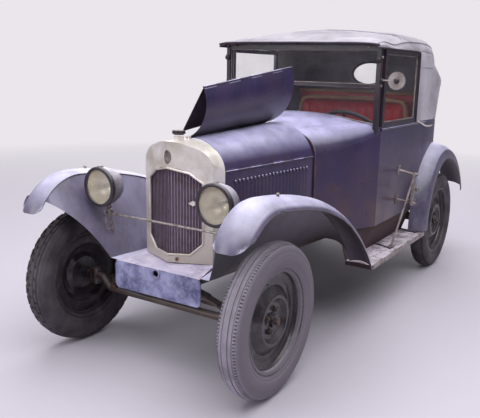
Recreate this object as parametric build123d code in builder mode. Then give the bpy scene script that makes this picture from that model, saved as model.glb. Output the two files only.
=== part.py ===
from build123d import *
from math import cos, hypot, radians, sin
import os

os.makedirs("parts", exist_ok=True)

# Frame: front faces -Y, the car's left side is +X, +Z up, origin on the ground at the middle of its length.
# Stations are given with st(), measured rearward from the front axle.

# Driving sizes, mm
wheelbase = 2400.0
track = 1150.0
front_axle_y = -1332.0
tyre_radius = 355.0
tyre_width = 116.0
rim_radius = 242.0
rim_width = 92.0
hub_bore_radius = 18.0
running_clearance = 0.05
seat_gap = 0.3
moving_gap = 6.0

kingpin_x = 488.0
kingpin_radius = 11.0
eye_radius = 21.0
eye_height = 52.0
beam_z = 305.0
steer_arm_length = 120.0
tie_rod_radius = 9.0

rail_top_z = 500.0
rail_height = 60.0
rail_web = 5.0
rail_flange = 32.0
rail_front_x = 190.0
rail_rear_x = 300.0

crank_z = 481.0

shell_half_width = 216.0
shell_top_z = 1100.0
shell_bottom_z = 518.0
shell_ridge_y = -6.0
shell_corner_y = 78.0
shell_back_y = 160.0
shell_wall = 9.0
hinge_boss_length = 16.0
centre_pin_radius = 4.0
cap_y = 82.0

hinge_front_z = 1106.0
hinge_rear_z = 1134.0
side_hinge_front_x = 214.0
side_hinge_rear_x = 322.0
side_hinge_front_z = 957.0
side_hinge_rear_z = 968.0
bonnet_rear_y = 868.0
bonnet_side_height = 278.0
bonnet_gap = 5.0
sheet = 2.0
open_angle = 146.0
fold_angle = 110.0

pillar_y = 1290.0
screen_y = pillar_y - 25.0
body_half_width = 548.0
waist_z = 1116.0
floor_top_z = 518.3
body_bottom_z = 518.6
wall = 28.0
window_rear_y = wheelbase - 475.0
window_top_z = 1572.0
quarter_y = wheelbase - 300.0
tub_rear_y = wheelbase - 70.0
tail_end_y = wheelbase + 610.0
tail_tip_z = 640.0
tail_end_half_width = 300.0

board_top_z = 345.0
board_thickness = 26.0
board_front_y = 1050.0
board_rear_y = wheelbase - 388.0
board_inner_x = 470.0
board_outer_x = 645.0
valance_top_x = 530.0
fender_outer_x = 657.0
fender_inner_x = 505.0
fender_sheet = 3.0

lamp_x = 343.0
lamp_y = -67.0
lamp_z = 859.0
lamp_radius = 95.0

hood_top_z = 1720.0
hood_cloth = 14.0

parts = {}


def st(y):
    """Station: distance rearward from the front axle."""
    return front_axle_y + y


def keep(builder, name):
    """Label a finished piece and write it."""
    builder.part.label = name
    export_step(builder.part, f"parts/{name}.step")
    parts[name] = builder.part


def keep_pair(builder, name):
    """Write the left piece and its mirrored right twin."""
    keep(builder, f"{name}_left")
    with BuildPart() as twin:
        mirror(builder.part, about=Plane.YZ)
    keep(twin, f"{name}_right")


def cross_plane(y):
    """Plane at a station, local x to the car's left, local y up."""
    return Plane(origin=(0, st(y), 0), x_dir=(1, 0, 0), z_dir=(0, -1, 0))


def side_plane(x):
    """Plane facing left, local x rearward from the front axle, local y up."""
    return Plane(origin=(x, front_axle_y, 0), x_dir=(0, 1, 0), z_dir=(1, 0, 0))


def plan_plane(z):
    """Plane facing up, local x to the left, local y rearward from the front axle."""
    return Plane(origin=(0, front_axle_y, z), x_dir=(1, 0, 0), z_dir=(0, 0, 1))


# Bead seats of the rim as (distance from its middle plane, radius)
rim_seat = (
    (rim_width / 2 - 28, rim_radius - 20),
    (rim_width / 2 - 18, rim_radius - 12),
    (rim_width / 2 - 8, rim_radius),
)


# Wheels: pressed disc with a raised ring round the dished hub, in a drop-centre rim
def wheel_outline(side):
    half = rim_width / 2
    face = [
        (half, rim_radius),
        (half, rim_radius - 6),
        (half - 14, rim_radius - 12),
        (half - 26, rim_radius - 22),
        (10, rim_radius - 26),
        (2, 190),
        (2, 160),
        (20, 134),
        (32, 116),
        (32, 104),
        (12, 84),
        (10, 40),
        (14, 30),
        (30, 26),
        (36, 0),
    ]
    back = [
        (10, 0),
        (10, hub_bore_radius),
        (-50, hub_bore_radius),
        (-50, 30),
        (4, 34),
        (6, 84),
        (24, 106),
        (13, 134),
        (-5, 160),
        (-5, 192),
        (-4, rim_radius - 30),
        (-half + 26, rim_radius - 30),
        (-half + 14, rim_radius - 18),
        (-half, rim_radius - 10),
        (-half, rim_radius),
    ]
    seats = [(-u, r) for u, r in reversed(rim_seat)] + list(rim_seat)
    return [(side * u, r) for u, r in face + back + seats]


def make_wheel(name, side, y):
    origin = (side * track / 2, y, tyre_radius)
    plane = Plane(origin=origin, x_dir=(1, 0, 0), z_dir=(0, -1, 0))
    spin = Axis(origin, (1, 0, 0))
    with BuildPart() as wheel:
        with BuildSketch(plane):
            with BuildLine():
                Polyline(*wheel_outline(side), close=True)
            make_face()
        revolve(axis=spin)
    keep(wheel, f"wheel_{name}")
    half = tyre_width / 2
    seats = [(u, r + seat_gap) for u, r in rim_seat]
    bead, bead_radius = seats[-1]
    crown = tyre_radius
    with BuildPart() as tyre:
        with BuildSketch(plane):
            with BuildLine():
                Polyline(*((-u, r) for u, r in reversed(seats)), *seats)
                ThreePointArc((bead, bead_radius), (half, rim_radius + 50), (half - 16, crown - 20))
                ThreePointArc((half - 16, crown - 20), (0, crown), (-half + 16, crown - 20))
                ThreePointArc((-half + 16, crown - 20), (-half, rim_radius + 50), (-bead, bead_radius))
            make_face()
        revolve(axis=spin)
    keep(tyre, f"tyre_{name}")


for end, y in (("front", st(0)), ("rear", st(wheelbase))):
    for hand, side in (("left", 1), ("right", -1)):
        make_wheel(f"{end}_{hand}", side, y)

# Chassis frame: two channel rails, closer at the front, with cross members
rail_front_y = -60.0
rail_rear_y = wheelbase + 430.0
rail_bend_y = bonnet_rear_y + 250.0
rail_bottom_z = rail_top_z - rail_height
spring_x = 340.0
spring_reach = 360.0
spring_camber = 62.0
spring_base_z = tyre_radius + 32
leaf = 7.0
spring_pin_z = spring_base_z + seat_gap + spring_camber + leaf / 2
spring_pin_radius = 9.0


def rail_x(y):
    """Outer face of the left rail at a station."""
    along = (y - rail_front_y) / (rail_bend_y - rail_front_y)
    return rail_front_x + (rail_rear_x - rail_front_x) * min(1, along)


with BuildPart() as chassis_frame:
    with BuildSketch(plan_plane(rail_bottom_z)):
        with BuildLine():
            Polyline(
                (rail_front_x, rail_front_y),
                (rail_rear_x, rail_bend_y),
                (rail_rear_x, rail_rear_y),
                (rail_rear_x - rail_flange, rail_rear_y),
                (rail_rear_x - rail_flange, rail_bend_y),
                (rail_front_x - rail_flange, rail_front_y),
                close=True,
            )
        make_face()
    extrude(amount=rail_height)
    with BuildSketch(plan_plane(rail_bottom_z + rail_web)):
        with BuildLine():
            Polyline(
                (rail_front_x - rail_web, rail_front_y - 1),
                (rail_rear_x - rail_web, rail_bend_y),
                (rail_rear_x - rail_web, rail_rear_y + 1),
                (rail_rear_x - rail_flange - 1, rail_rear_y + 1),
                (rail_rear_x - rail_flange - 1, rail_bend_y),
                (rail_front_x - rail_flange - 1, rail_front_y - 1),
                close=True,
            )
        make_face()
    extrude(amount=rail_height - 2 * rail_web, mode=Mode.SUBTRACT)
    mirror(about=Plane.YZ)
    for y in (0.0, rail_bend_y + 70, wheelbase - 700, rail_rear_y - 40):
        with Locations((0, st(y), rail_top_z - rail_height / 2)):
            Box(2 * (rail_x(y) - rail_web - 6), 46, rail_height - 2)
    for y in (wheelbase - spring_reach, wheelbase + spring_reach):
        for side in (1, -1):
            with Locations((side * (rail_rear_x + 42), st(y), spring_pin_z)):
                Cylinder(spring_pin_radius, 92, rotation=(0, 90, 0))
    bracket_top_z = shell_bottom_z - seat_gap
    for side in (1, -1):
        with Locations((side * (rail_x(130) - rail_flange / 2), st(130), (rail_top_z - 2 + bracket_top_z) / 2)):
            Box(rail_flange - 8, 44, bracket_top_z - rail_top_z + 2)
keep(chassis_frame, "chassis_frame")

# Front axle: a round beam that rises at its ends to the kingpin eyes
perch_x = 352.0
with BuildPart() as front_axle:
    with BuildLine() as beam_path:
        FilletPolyline(
            (-kingpin_x, st(0), tyre_radius),
            (-kingpin_x + 48, st(0), tyre_radius),
            (-kingpin_x + 100, st(0), beam_z),
            (kingpin_x - 100, st(0), beam_z),
            (kingpin_x - 48, st(0), tyre_radius),
            (kingpin_x, st(0), tyre_radius),
            radius=24,
        )
    with BuildSketch(Plane(origin=beam_path.line @ 0, z_dir=beam_path.line % 0)):
        Circle(19)
    sweep(path=beam_path.line)
    for side in (1, -1):
        with Locations((side * kingpin_x, st(0), tyre_radius)):
            Cylinder(eye_radius, eye_height)
        with Locations((side * perch_x, st(0), beam_z + 20)):
            Box(40, 44, 16)
    for side in (1, -1):
        with Locations((side * kingpin_x, st(0), tyre_radius)):
            Cylinder(kingpin_radius + running_clearance, 2 * eye_height, mode=Mode.SUBTRACT)
        with Locations((side * (kingpin_x + eye_radius + 20), st(0), tyre_radius)):
            Box(40, 90, 2 * eye_height, mode=Mode.SUBTRACT)
keep(front_axle, "front_axle")

# Transverse leaf spring: a stack of curved leaves under the front cross member
spring_width = 44.0
spring_top_z = rail_bottom_z + 1 - seat_gap
spring_end_z = beam_z + 28 + seat_gap
with BuildPart() as front_spring:
    for i in range(5):
        reach = perch_x + 14 - i * 62
        drop = (spring_top_z - spring_end_z - 5 * leaf) * (reach / (perch_x + 14)) ** 2
        top = spring_top_z - (4 - i) * leaf
        with BuildSketch(cross_plane(0)):
            with BuildLine():
                ThreePointArc((-reach, top - drop), (0, top), (reach, top - drop))
                Line((reach, top - drop), (reach, top - drop - leaf))
                ThreePointArc((reach, top - drop - leaf), (0, top - leaf), (-reach, top - drop - leaf))
                Line((-reach, top - drop - leaf), (-reach, top - drop))
            make_face()
        extrude(amount=spring_width / 2, both=True)
keep(front_spring, "front_spring")

tie_pin_radius = 6.0
tie_eye_height = 24.0
fork_gap = 0.3
fork_height = 16.0
fork_span = eye_height / 2 + fork_gap + fork_height
tie_z = tyre_radius - fork_span - seat_gap - tie_eye_height / 2

# Knuckles: a fork round the axle eye, the kingpin, the stub axle and the steering arm
with BuildPart() as knuckle:
    for side in (1, -1):
        with Locations((kingpin_x, st(0), tyre_radius + side * (fork_span - fork_height / 2))):
            Cylinder(eye_radius, fork_height)
        with Locations((kingpin_x + 18, st(0), tyre_radius + side * (fork_span - fork_height / 2))):
            Box(28, 34, fork_height)
    with Locations((kingpin_x + eye_radius + 6.5, st(0), tyre_radius)):
        Box(9, 40, 2 * fork_span)
    with Locations((kingpin_x, st(0), tyre_radius)):
        Cylinder(kingpin_radius, 2 * fork_span)
    stub_start = kingpin_x + eye_radius + 8
    stub_end = track / 2 + 8
    with Locations(((stub_start + stub_end) / 2, st(0), tyre_radius)):
        Cylinder(hub_bore_radius - running_clearance, stub_end - stub_start, rotation=(0, 90, 0))
    with Locations((kingpin_x, st(steer_arm_length / 2), tyre_radius - fork_span + fork_height / 2)):
        Box(20, steer_arm_length, fork_height - 2)
    with Locations((kingpin_x, st(steer_arm_length), tyre_radius - fork_span + fork_height / 2)):
        Cylinder(12, fork_height)
    with Locations((kingpin_x, st(steer_arm_length), tie_z - 3)):
        Cylinder(tie_pin_radius, 2 * (tyre_radius - fork_span - tie_z + 6))
keep_pair(knuckle, "knuckle")

# Tie rod behind the axle, eyed over a pin at each arm's end
with BuildPart() as tie_rod:
    with Locations((0, st(steer_arm_length), tie_z)):
        Cylinder(tie_rod_radius, 2 * kingpin_x - 20, rotation=(0, 90, 0))
    for side in (1, -1):
        with Locations((side * kingpin_x, st(steer_arm_length), tie_z)):
            Cylinder(13, tie_eye_height)
            Cylinder(tie_pin_radius + running_clearance, tie_eye_height, mode=Mode.SUBTRACT)
keep(tie_rod, "tie_rod")

# Rear axle: tubes with a round differential case, brake plates and the drive tube from the gearbox's ball
gearbox_end_y = 1080.0
ball_radius = 38.0
ball_y = gearbox_end_y + 5
ball_z = 420.0
with BuildPart() as rear_axle:
    plate_x = track / 2 - 60
    stub_radius = hub_bore_radius - running_clearance
    half_outline = [
        (13, 118),
        (13, 106),
        (56, 88),
        (84, 60),
        (110, 34),
        (130, 30),
        (plate_x - 16, 30),
        (plate_x - 16, 128),
        (plate_x, 128),
        (plate_x, stub_radius),
        (track / 2 + 8, stub_radius),
        (track / 2 + 8, 0),
    ]
    with BuildSketch(Plane(origin=(0, st(wheelbase), tyre_radius), x_dir=(1, 0, 0), z_dir=(0, -1, 0))):
        with BuildLine():
            Polyline(*half_outline, *((-x, r) for x, r in reversed(half_outline)), close=True)
        make_face()
    revolve(axis=Axis((0, st(wheelbase), tyre_radius), (1, 0, 0)))
    for side in (1, -1):
        with Locations((side * (spring_x + 22), st(wheelbase), spring_base_z - 10)):
            Box(50, 70, 20)
    tube_run = (0, wheelbase - ball_y, tyre_radius - ball_z)
    tube_length = hypot(*tube_run)
    tube_start = ball_radius + seat_gap
    tube_low = tuple(o + d * tube_start / tube_length for o, d in zip((0, st(ball_y), ball_z), tube_run))
    with BuildSketch(Plane(origin=tube_low, z_dir=tube_run)):
        Circle(20)
    extrude(amount=tube_length - tube_start)
keep(rear_axle, "rear_axle")

# Rear springs: long leaf packs outside the rails
with BuildPart() as rear_springs:
    for i in range(5):
        reach = spring_reach - i * 62
        lift = spring_camber * (reach / spring_reach) ** 2
        low = spring_base_z + seat_gap + i * leaf
        with BuildSketch(side_plane(spring_x)):
            with BuildLine():
                ThreePointArc((wheelbase - reach, low + lift), (wheelbase, low), (wheelbase + reach, low + lift))
                Line((wheelbase + reach, low + lift), (wheelbase + reach, low + lift + leaf))
                ThreePointArc(
                    (wheelbase + reach, low + lift + leaf),
                    (wheelbase, low + leaf),
                    (wheelbase - reach, low + lift + leaf),
                )
                Line((wheelbase - reach, low + lift + leaf), (wheelbase - reach, low + lift))
            make_face()
        extrude(amount=spring_width)
    with Locations((spring_x + spring_width / 2, st(wheelbase), spring_base_z + seat_gap + 5 * leaf / 2 + 3)):
        Box(spring_width + 6, 56, 5 * leaf + 6)
    for end in (-spring_reach, spring_reach):
        with Locations((spring_x + spring_width / 2, st(wheelbase + end), spring_pin_z)):
            Cylinder(spring_pin_radius + 6, spring_width, rotation=(0, 90, 0))
            Cylinder(spring_pin_radius + running_clearance, spring_width, rotation=(0, 90, 0), mode=Mode.SUBTRACT)
    mirror(about=Plane.YZ)
keep(rear_springs, "rear_springs")

# Engine with gearbox: crankcase, block and head with fan, manifold, carburettor, dynamo and water pipe
engine_front_y = 240.0
engine_length = 470.0
engine_rear_y = engine_front_y + engine_length
engine_mid_y = engine_front_y + engine_length / 2
engine_top_z = 905.0
case_top_z = 660.0
sump_z = 404.0
gearbox_radius = 92.0
manifold_x = -125.0
manifold_z = 800.0
manifold_front_y = engine_front_y + 60
manifold_rear_y = engine_front_y + engine_length - 60
fan_y = 205.0
fan_z = 790.0
core_back_y = shell_back_y - 50
with BuildPart() as engine:
    with Locations((0, st(engine_mid_y), (460 + case_top_z) / 2)):
        Box(230, engine_length, case_top_z - 460)
    with Locations((0, st(engine_mid_y), (sump_z + 462) / 2)):
        Box(180, engine_length - 50, 462 - sump_z)
    with Locations((0, st(engine_mid_y), 760)):
        Box(150, engine_length - 60, 220)
    with Locations((0, st(engine_mid_y), engine_top_z - 22)):
        Box(172, engine_length - 50, 44)
    with Locations((0, st((engine_rear_y + gearbox_end_y) / 2), crank_z + 9)):
        Cylinder(gearbox_radius, gearbox_end_y - engine_rear_y + 2, rotation=(90, 0, 0))
    with Locations((0, st(engine_rear_y + 30), crank_z + 9)):
        Cylinder(gearbox_radius + 34, 62, rotation=(90, 0, 0))
    with Locations((0, st(ball_y), ball_z)):
        Sphere(ball_radius)
    with Locations((0, st(engine_front_y - 14), crank_z + 9)):
        Cylinder(52, 30, rotation=(90, 0, 0))
    with Locations((0, st(fan_y + 35), fan_z)):
        Cylinder(16, 74, rotation=(90, 0, 0))
    with Locations((0, st(fan_y + 26), fan_z)):
        Cylinder(44, 22, rotation=(90, 0, 0))
    with Locations((0, st(fan_y + 6), fan_z)):
        Cylinder(34, 30, rotation=(90, 0, 0))
    for angle in (0, 90, 180, 270):
        reach = (sin(radians(angle)), cos(radians(angle)))
        with Locations(Location((92 * reach[0], st(fan_y), fan_z + 92 * reach[1]), (0, angle, 0))):
            with Locations(Location((0, 0, 0), (0, 0, 24))):
                Box(54, 4, 140)
    with Locations((manifold_x, st((manifold_front_y + manifold_rear_y) / 2), manifold_z)):
        Cylinder(26, manifold_rear_y - manifold_front_y, rotation=(90, 0, 0))
    for i in range(4):
        with Locations((manifold_x / 2 - 30, st(engine_front_y + 90 + i * 100), manifold_z)):
            Cylinder(20, -manifold_x - 50, rotation=(0, 90, 0))
        with Locations((28, st(engine_front_y + 90 + i * 100), engine_top_z + 18)):
            Cylinder(9, 38)
            with Locations((0, 0, -12)):
                Cylinder(14, 12)
    with Locations((112, st(engine_mid_y + 10), 772)):
        Cylinder(30, 110)
    with Locations((112, st(engine_mid_y + 10), 714)):
        Cylinder(42, 30)
    with Locations((92, st(engine_mid_y + 10), 800)):
        Cylinder(22, 60, rotation=(0, 90, 0))
    with Locations((96, st(engine_front_y + 90), case_top_z + 40)):
        Cylinder(44, 150, rotation=(90, 0, 0))
    with Locations((-92, st(engine_rear_y - 50), case_top_z + 30)):
        Cylinder(18, 64)
    with Locations((0, st(engine_front_y + 120), rail_top_z + seat_gap + 8)):
        Box(2 * (rail_x(engine_front_y + 120) - 18), 60, 16)
    with BuildLine() as water_pipe:
        FilletPolyline(
            (0, st(engine_front_y + 70), engine_top_z - 4),
            (0, st(engine_front_y + 70), engine_top_z + 78),
            (0, st(core_back_y) + seat_gap, engine_top_z + 78),
            radius=40,
        )
    with BuildSketch(Plane(origin=water_pipe.line @ 0, z_dir=water_pipe.line % 0)):
        Circle(22)
    sweep(path=water_pipe.line)
    with BuildLine() as gear_lever:
        Polyline((0, st(gearbox_end_y - 50), crank_z + gearbox_radius), (30, st(gearbox_end_y + 105), 800))
    with BuildSketch(Plane(origin=gear_lever.line @ 0, z_dir=gear_lever.line % 0)):
        Circle(7)
    sweep(path=gear_lever.line)
    with Locations((30, st(gearbox_end_y + 105), 800)):
        Sphere(19)
keep(engine, "engine")

# Radiator shell: V-shaped in plan, arched top, open window for the core
def shell_form(inset, back, bottom):
    half = shell_half_width - inset
    front = inset * 1.2
    corner_y = shell_corner_y + inset * 0.9
    back_half = half - 10 + 10 * (back - corner_y) / (shell_back_y - shell_corner_y)
    with BuildPart(mode=Mode.PRIVATE) as form:
        with BuildSketch(plan_plane(bottom)):
            with BuildLine():
                Polyline(
                    (0, shell_ridge_y + front),
                    (half - 10, corner_y),
                    (back_half, back),
                    (-back_half, back),
                    (-half + 10, corner_y),
                    close=True,
                )
            make_face()
        extrude(amount=shell_top_z - bottom)
        with BuildSketch(cross_plane(shell_ridge_y - 20)):
            with BuildLine():
                Polyline((-half, side_hinge_front_z), (-half, bottom), (half, bottom), (half, side_hinge_front_z))
                ThreePointArc(
                    (half, side_hinge_front_z),
                    (half * 0.86, shell_top_z - 66 - inset),
                    (half * 0.5, shell_top_z - 22 - inset),
                )
                ThreePointArc(
                    (half * 0.5, shell_top_z - 22 - inset),
                    (0, shell_top_z - inset),
                    (-half * 0.5, shell_top_z - 22 - inset),
                )
                ThreePointArc(
                    (-half * 0.5, shell_top_z - 22 - inset),
                    (-half * 0.86, shell_top_z - 66 - inset),
                    (-half, side_hinge_front_z),
                )
            make_face()
        extrude(amount=-400, mode=Mode.INTERSECT)
    return form.part


def window_form(inset, depth):
    half = 166.0 - inset
    with BuildPart(mode=Mode.PRIVATE) as form:
        with BuildSketch(cross_plane(shell_ridge_y - 20)):
            with BuildLine():
                Polyline(
                    (-half, 912),
                    (-half, 615),
                    (-half + 62, 557 + inset),
                    (half - 62, 557 + inset),
                    (half, 615),
                    (half, 912),
                )
                ThreePointArc((half, 912), (half * 0.6, 958 - inset), (0, 977 - inset))
                ThreePointArc((0, 977 - inset), (-half * 0.6, 958 - inset), (-half, 912))
            make_face()
        extrude(amount=-depth)
    return form.part


with BuildPart() as radiator_shell:
    add(shell_form(0, shell_back_y, shell_bottom_z))
    add(shell_form(shell_wall, shell_back_y + 20, shell_bottom_z + shell_wall), mode=Mode.SUBTRACT)
    add(window_form(0, 130), mode=Mode.SUBTRACT)
    with Locations((0, st(cap_y), shell_top_z + 6)):
        Cylinder(24, 26)
    with Locations((0, st(shell_back_y - hinge_boss_length / 2), hinge_front_z - 3)):
        Box(24, hinge_boss_length, 24)
    with Locations((0, st(shell_back_y - hinge_boss_length / 2), hinge_front_z - 0.4)):
        Cylinder(centre_pin_radius + 0.5, hinge_boss_length + 4, rotation=(90, 0, 0), mode=Mode.SUBTRACT)
keep(radiator_shell, "radiator_shell")

core_inset = shell_wall + seat_gap
rib_pitch = 13.5
rib_width = 4.5
rib_depth = 7.0
rib_pairs = 12
with BuildPart() as radiator_core:
    add(shell_form(core_inset, core_back_y, shell_bottom_z + core_inset))
    with BuildPart(mode=Mode.PRIVATE) as grooves:
        for i in range(-rib_pairs, rib_pairs):
            with Locations(((i + 0.5) * rib_pitch, st(60), 760)):
                Box(rib_pitch - rib_width, 240, 500)
        add(window_form(0, 130), mode=Mode.INTERSECT)
        add(shell_form(core_inset + rib_depth, shell_back_y, shell_bottom_z), mode=Mode.SUBTRACT)
    add(grooves.part, mode=Mode.SUBTRACT)
keep(radiator_core, "radiator_core")

with BuildPart() as radiator_cap:
    with Locations((0, st(cap_y), shell_top_z + 19 + seat_gap + 11)):
        Cylinder(32, 22)
keep(radiator_cap, "radiator_cap")

# Front apron: sloping sheet below the radiator and the upright plate with the starting handle hole
plate_half = 262.0
plate_top_z = 503.0
plate_bottom_z = 364.0
plate_y = -92.0
crank_radius = 17.0
with BuildPart() as front_apron:
    with BuildSketch(cross_plane(plate_y)):
        with Locations((0, (plate_top_z + plate_bottom_z) / 2)):
            RectangleRounded(2 * plate_half, plate_top_z - plate_bottom_z, 26)
        with Locations((0, crank_z)):
            Circle(crank_radius, mode=Mode.SUBTRACT)
    extrude(amount=-4)
    with BuildSketch(cross_plane(plate_y)):
        with Locations((0, crank_z)):
            Circle(crank_radius + 8)
            Circle(crank_radius, mode=Mode.SUBTRACT)
    extrude(amount=5)
    with BuildSketch(Plane(origin=(0, st(plate_y), plate_top_z - 1), x_dir=(1, 0, 0), z_dir=(0, -0.09, 1))):
        with BuildLine():
            Polyline((-plate_half + 6, 0), (plate_half - 6, 0), (shell_half_width, 172), (-shell_half_width, 172),
                     close=True)
        make_face()
    extrude(amount=-3)
keep(front_apron, "front_apron")


def tub_plan(half, grow):
    """Outline of the tub and tail seen from above, grown all round."""
    with BuildSketch(mode=Mode.PRIVATE) as plan:
        with BuildLine():
            end_half = tail_end_half_width + grow
            Line((-half, pillar_y + 0.5), (half, pillar_y + 0.5))
            Line((half, pillar_y + 0.5), (half, quarter_y))
            ThreePointArc((half, quarter_y), (half - 53, wheelbase + 160), (end_half, tail_end_y - 40))
            ThreePointArc((end_half, tail_end_y - 40), (0, tail_end_y), (-end_half, tail_end_y - 40))
            ThreePointArc((-end_half, tail_end_y - 40), (53 - half, wheelbase + 160), (-half, quarter_y))
            Line((-half, quarter_y), (-half, pillar_y + 0.5))
        make_face()
    return plan.sketch


# Front fenders: a crowned strip over the wheel with the valance that runs down to the frame
fender_mid_x = (fender_outer_x + fender_inner_x) / 2
fender_half = (fender_outer_x - fender_inner_x) / 2


def crowned(inner, crown, drop, thickness):
    """Crowned strip section: local x across the fender, local y towards the wheel."""
    with BuildSketch(mode=Mode.PRIVATE) as section:
        with BuildLine():
            ThreePointArc((-inner, 0), (0, -crown), (fender_half * 0.8, drop * 0.36))
            ThreePointArc((fender_half * 0.8, drop * 0.36), (fender_half * 0.95, drop * 0.66), (fender_half, drop))
            Line((fender_half, drop), (fender_half - thickness, drop))
            ThreePointArc(
                (fender_half - thickness, drop),
                (fender_half * 0.95 - thickness, drop * 0.66 + thickness * 0.3),
                (fender_half * 0.8 - thickness * 0.6, drop * 0.36 + thickness * 0.8),
            )
            ThreePointArc(
                (fender_half * 0.8 - thickness * 0.6, drop * 0.36 + thickness * 0.8),
                (0, thickness - crown),
                (-inner, thickness),
            )
            Line((-inner, thickness), (-inner, 0))
        make_face()
    return section.sketch


def fender_path(*points):
    """Tangent arcs through (station, height) points in the fender's middle plane."""
    places = [(fender_mid_x, st(y), z) for y, z in points]
    with BuildLine() as run:
        first = ThreePointArc(*places[:3])
        for i in range(3, len(places)):
            first = TangentArc(places[i - 1], places[i], tangent=first % 1)
    return run.line


def fender_strip(path, inner, crown, drop):
    with BuildPart(mode=Mode.PRIVATE) as strip:
        with BuildSketch(Plane(origin=path @ 0, x_dir=(1, 0, 0), z_dir=path % 0)):
            add(crowned(inner, crown, drop, fender_sheet))
        sweep(path=path, transition=Transition.RIGHT)
    return strip.part


def run_height(path, y):
    """Height of a fender run at a station."""
    low, high = 0.0, 1.0
    for _ in range(24):
        mid = (low + high) / 2
        if (path @ mid).Y < st(y):
            low = mid
        else:
            high = mid
    return (path @ low).Z


front_run = fender_path((-338, 735), (-235, 862), (-70, 905), (330, 842), (board_front_y - 4, board_top_z + 7))
flange_z = rail_top_z + seat_gap + 3
# Columns: station, flange end x, knee x
valance_table = (
    (-330, 253.5, 316),
    (-280, 253.5, 316),
    (-235, 253.5, 316),
    (-150, 253.5, 308),
    (-70, 253.5, 300),
    (0, 236.5, 292),
    (80, 217, 280),
    (165, 217, 272),
    (200, rail_x(200) - 14, 273),
    (330, rail_x(330) - 14, 285),
    (450, rail_x(450) - 14, 298),
    (600, rail_x(600) - 14, 318),
    (730, rail_x(730) - 14, 338),
    (858, rail_x(858) - 14, 358),
    (866, 330, 360),
    (960, 385, 410),
    (1040, 432, 452),
)


def valance_form(up, down):
    """Ruled valance between the two surfaces raised and lowered from its own."""
    with BuildPart(mode=Mode.PRIVATE) as form:
        for y, flange_x, knee_x in valance_table:
            top_z = run_height(front_run, y)
            with BuildSketch(cross_plane(y)):
                with BuildLine():
                    Polyline(
                        (flange_x, flange_z + up),
                        (knee_x, flange_z + up),
                        (fender_inner_x, top_z + up * 1.8),
                        (fender_inner_x, top_z - down * 1.8),
                        (knee_x + 1, flange_z - down),
                        (flange_x, flange_z - down),
                        close=True,
                    )
                make_face()
        loft(ruled=True)
    return form.part


with BuildPart() as front_fender:
    add(fender_strip(front_run, fender_half + 6, 14, 42))
    with BuildPart(mode=Mode.PRIVATE) as valance:
        add(valance_form(0, fender_sheet))
        with BuildSketch(side_plane(150)):
            with BuildLine():
                Line((-420, 900), (-300, 900))
                Line((-300, 900), (-300, 800))
                ThreePointArc((-300, 800), (-183, 690), (-80, 500))
                Polyline((-80, 500), (-80, 400), (-420, 400), (-420, 900))
            make_face()
        extrude(amount=fender_inner_x - 152, mode=Mode.SUBTRACT)
    add(valance.part)
keep_pair(front_fender, "front_fender")

# Rear fenders: deep crowned strips over the rear wheels, cut to the body's side
ry = wheelbase
rear_run = fender_path((ry - 455, 352), (ry - 395, 640), (ry - 240, 838), (ry + 30, 925), (ry + 585, 560))
with BuildPart() as rear_fender:
    add(fender_strip(rear_run, fender_half + 40, 0, 100))
    with BuildSketch(plan_plane(board_top_z - 40)):
        add(tub_plan(body_half_width + seat_gap, seat_gap))
    extrude(amount=800, mode=Mode.SUBTRACT)
keep_pair(rear_fender, "rear_fender")

# Running boards with the valance between board and frame
with BuildPart() as running_boards:
    mid_y = (board_front_y + board_rear_y) / 2
    with Locations(((board_inner_x + board_outer_x) / 2, st(mid_y), board_top_z - board_thickness / 2)):
        Box(board_outer_x - board_inner_x, board_rear_y - board_front_y, board_thickness)
    for y, top_x in ((board_front_y + 2, 430), (pillar_y, valance_top_x), (board_rear_y - 2, valance_top_x)):
        with BuildSketch(cross_plane(y)):
            with BuildLine():
                Polyline(
                    (board_inner_x + 4, board_top_z - 2),
                    (top_x, rail_top_z),
                    (top_x - 4, rail_top_z),
                    (board_inner_x - 1, board_top_z - 6),
                    close=True,
                )
            make_face()
    loft(ruled=True)
    mirror(about=Plane.YZ)
keep(running_boards, "running_boards")


def hinge_barrels(origin, direction, length, radius, first, tab_place, tab_size):
    """Every second barrel of a hinge along a line, each with the tab that joins it to its panel."""
    pitch = length / hinge_barrel_count
    with BuildPart(mode=Mode.PRIVATE) as barrels:
        for i in range(first, hinge_barrel_count, 2):
            start = tuple(o + d * (i * pitch + 1) for o, d in zip(origin, direction))
            with BuildSketch(Plane(origin=start, x_dir=(1, 0, 0), z_dir=direction)):
                Circle(radius)
                with Locations(tab_place):
                    Rectangle(*tab_size)
            extrude(amount=pitch - 2)
    return barrels.part


# Bonnet: two top panels on a centre hinge, a louvred side panel hinged to each
hinge_barrel_count = 8
centre_barrel_radius = 7.0
side_pin_radius = 2.5
side_barrel_radius = 5.5
hinge_drop = hinge_rear_z - hinge_front_z
bonnet_front_y = shell_back_y + bonnet_gap
bonnet_run = bonnet_rear_y - bonnet_gap - bonnet_front_y


def top_section(front):
    """Closed strip section of the left top panel at the front or the rear."""
    x, z = (side_hinge_front_x, side_hinge_front_z) if front else (side_hinge_rear_x, side_hinge_rear_z)
    top = hinge_front_z if front else hinge_rear_z
    bulge = (0.74, 0.55) if front else (0.78, 0.62)
    mid = (x * bulge[0], z + (top - z) * bulge[1] + 18)
    start = centre_barrel_radius + 0.6
    with BuildSketch(mode=Mode.PRIVATE) as section:
        with BuildLine():
            edge = z + side_barrel_radius + 0.6
            ThreePointArc((start, top - 1), mid, (x, edge))
            Line((x, edge), (x - sheet, edge))
            ThreePointArc((x - sheet, edge), (mid[0] - sheet * 0.7, mid[1] - sheet * 0.7), (start, top - 1 - sheet))
            Line((start, top - 1 - sheet), (start, top - 1))
        make_face()
    return section.sketch


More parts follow.
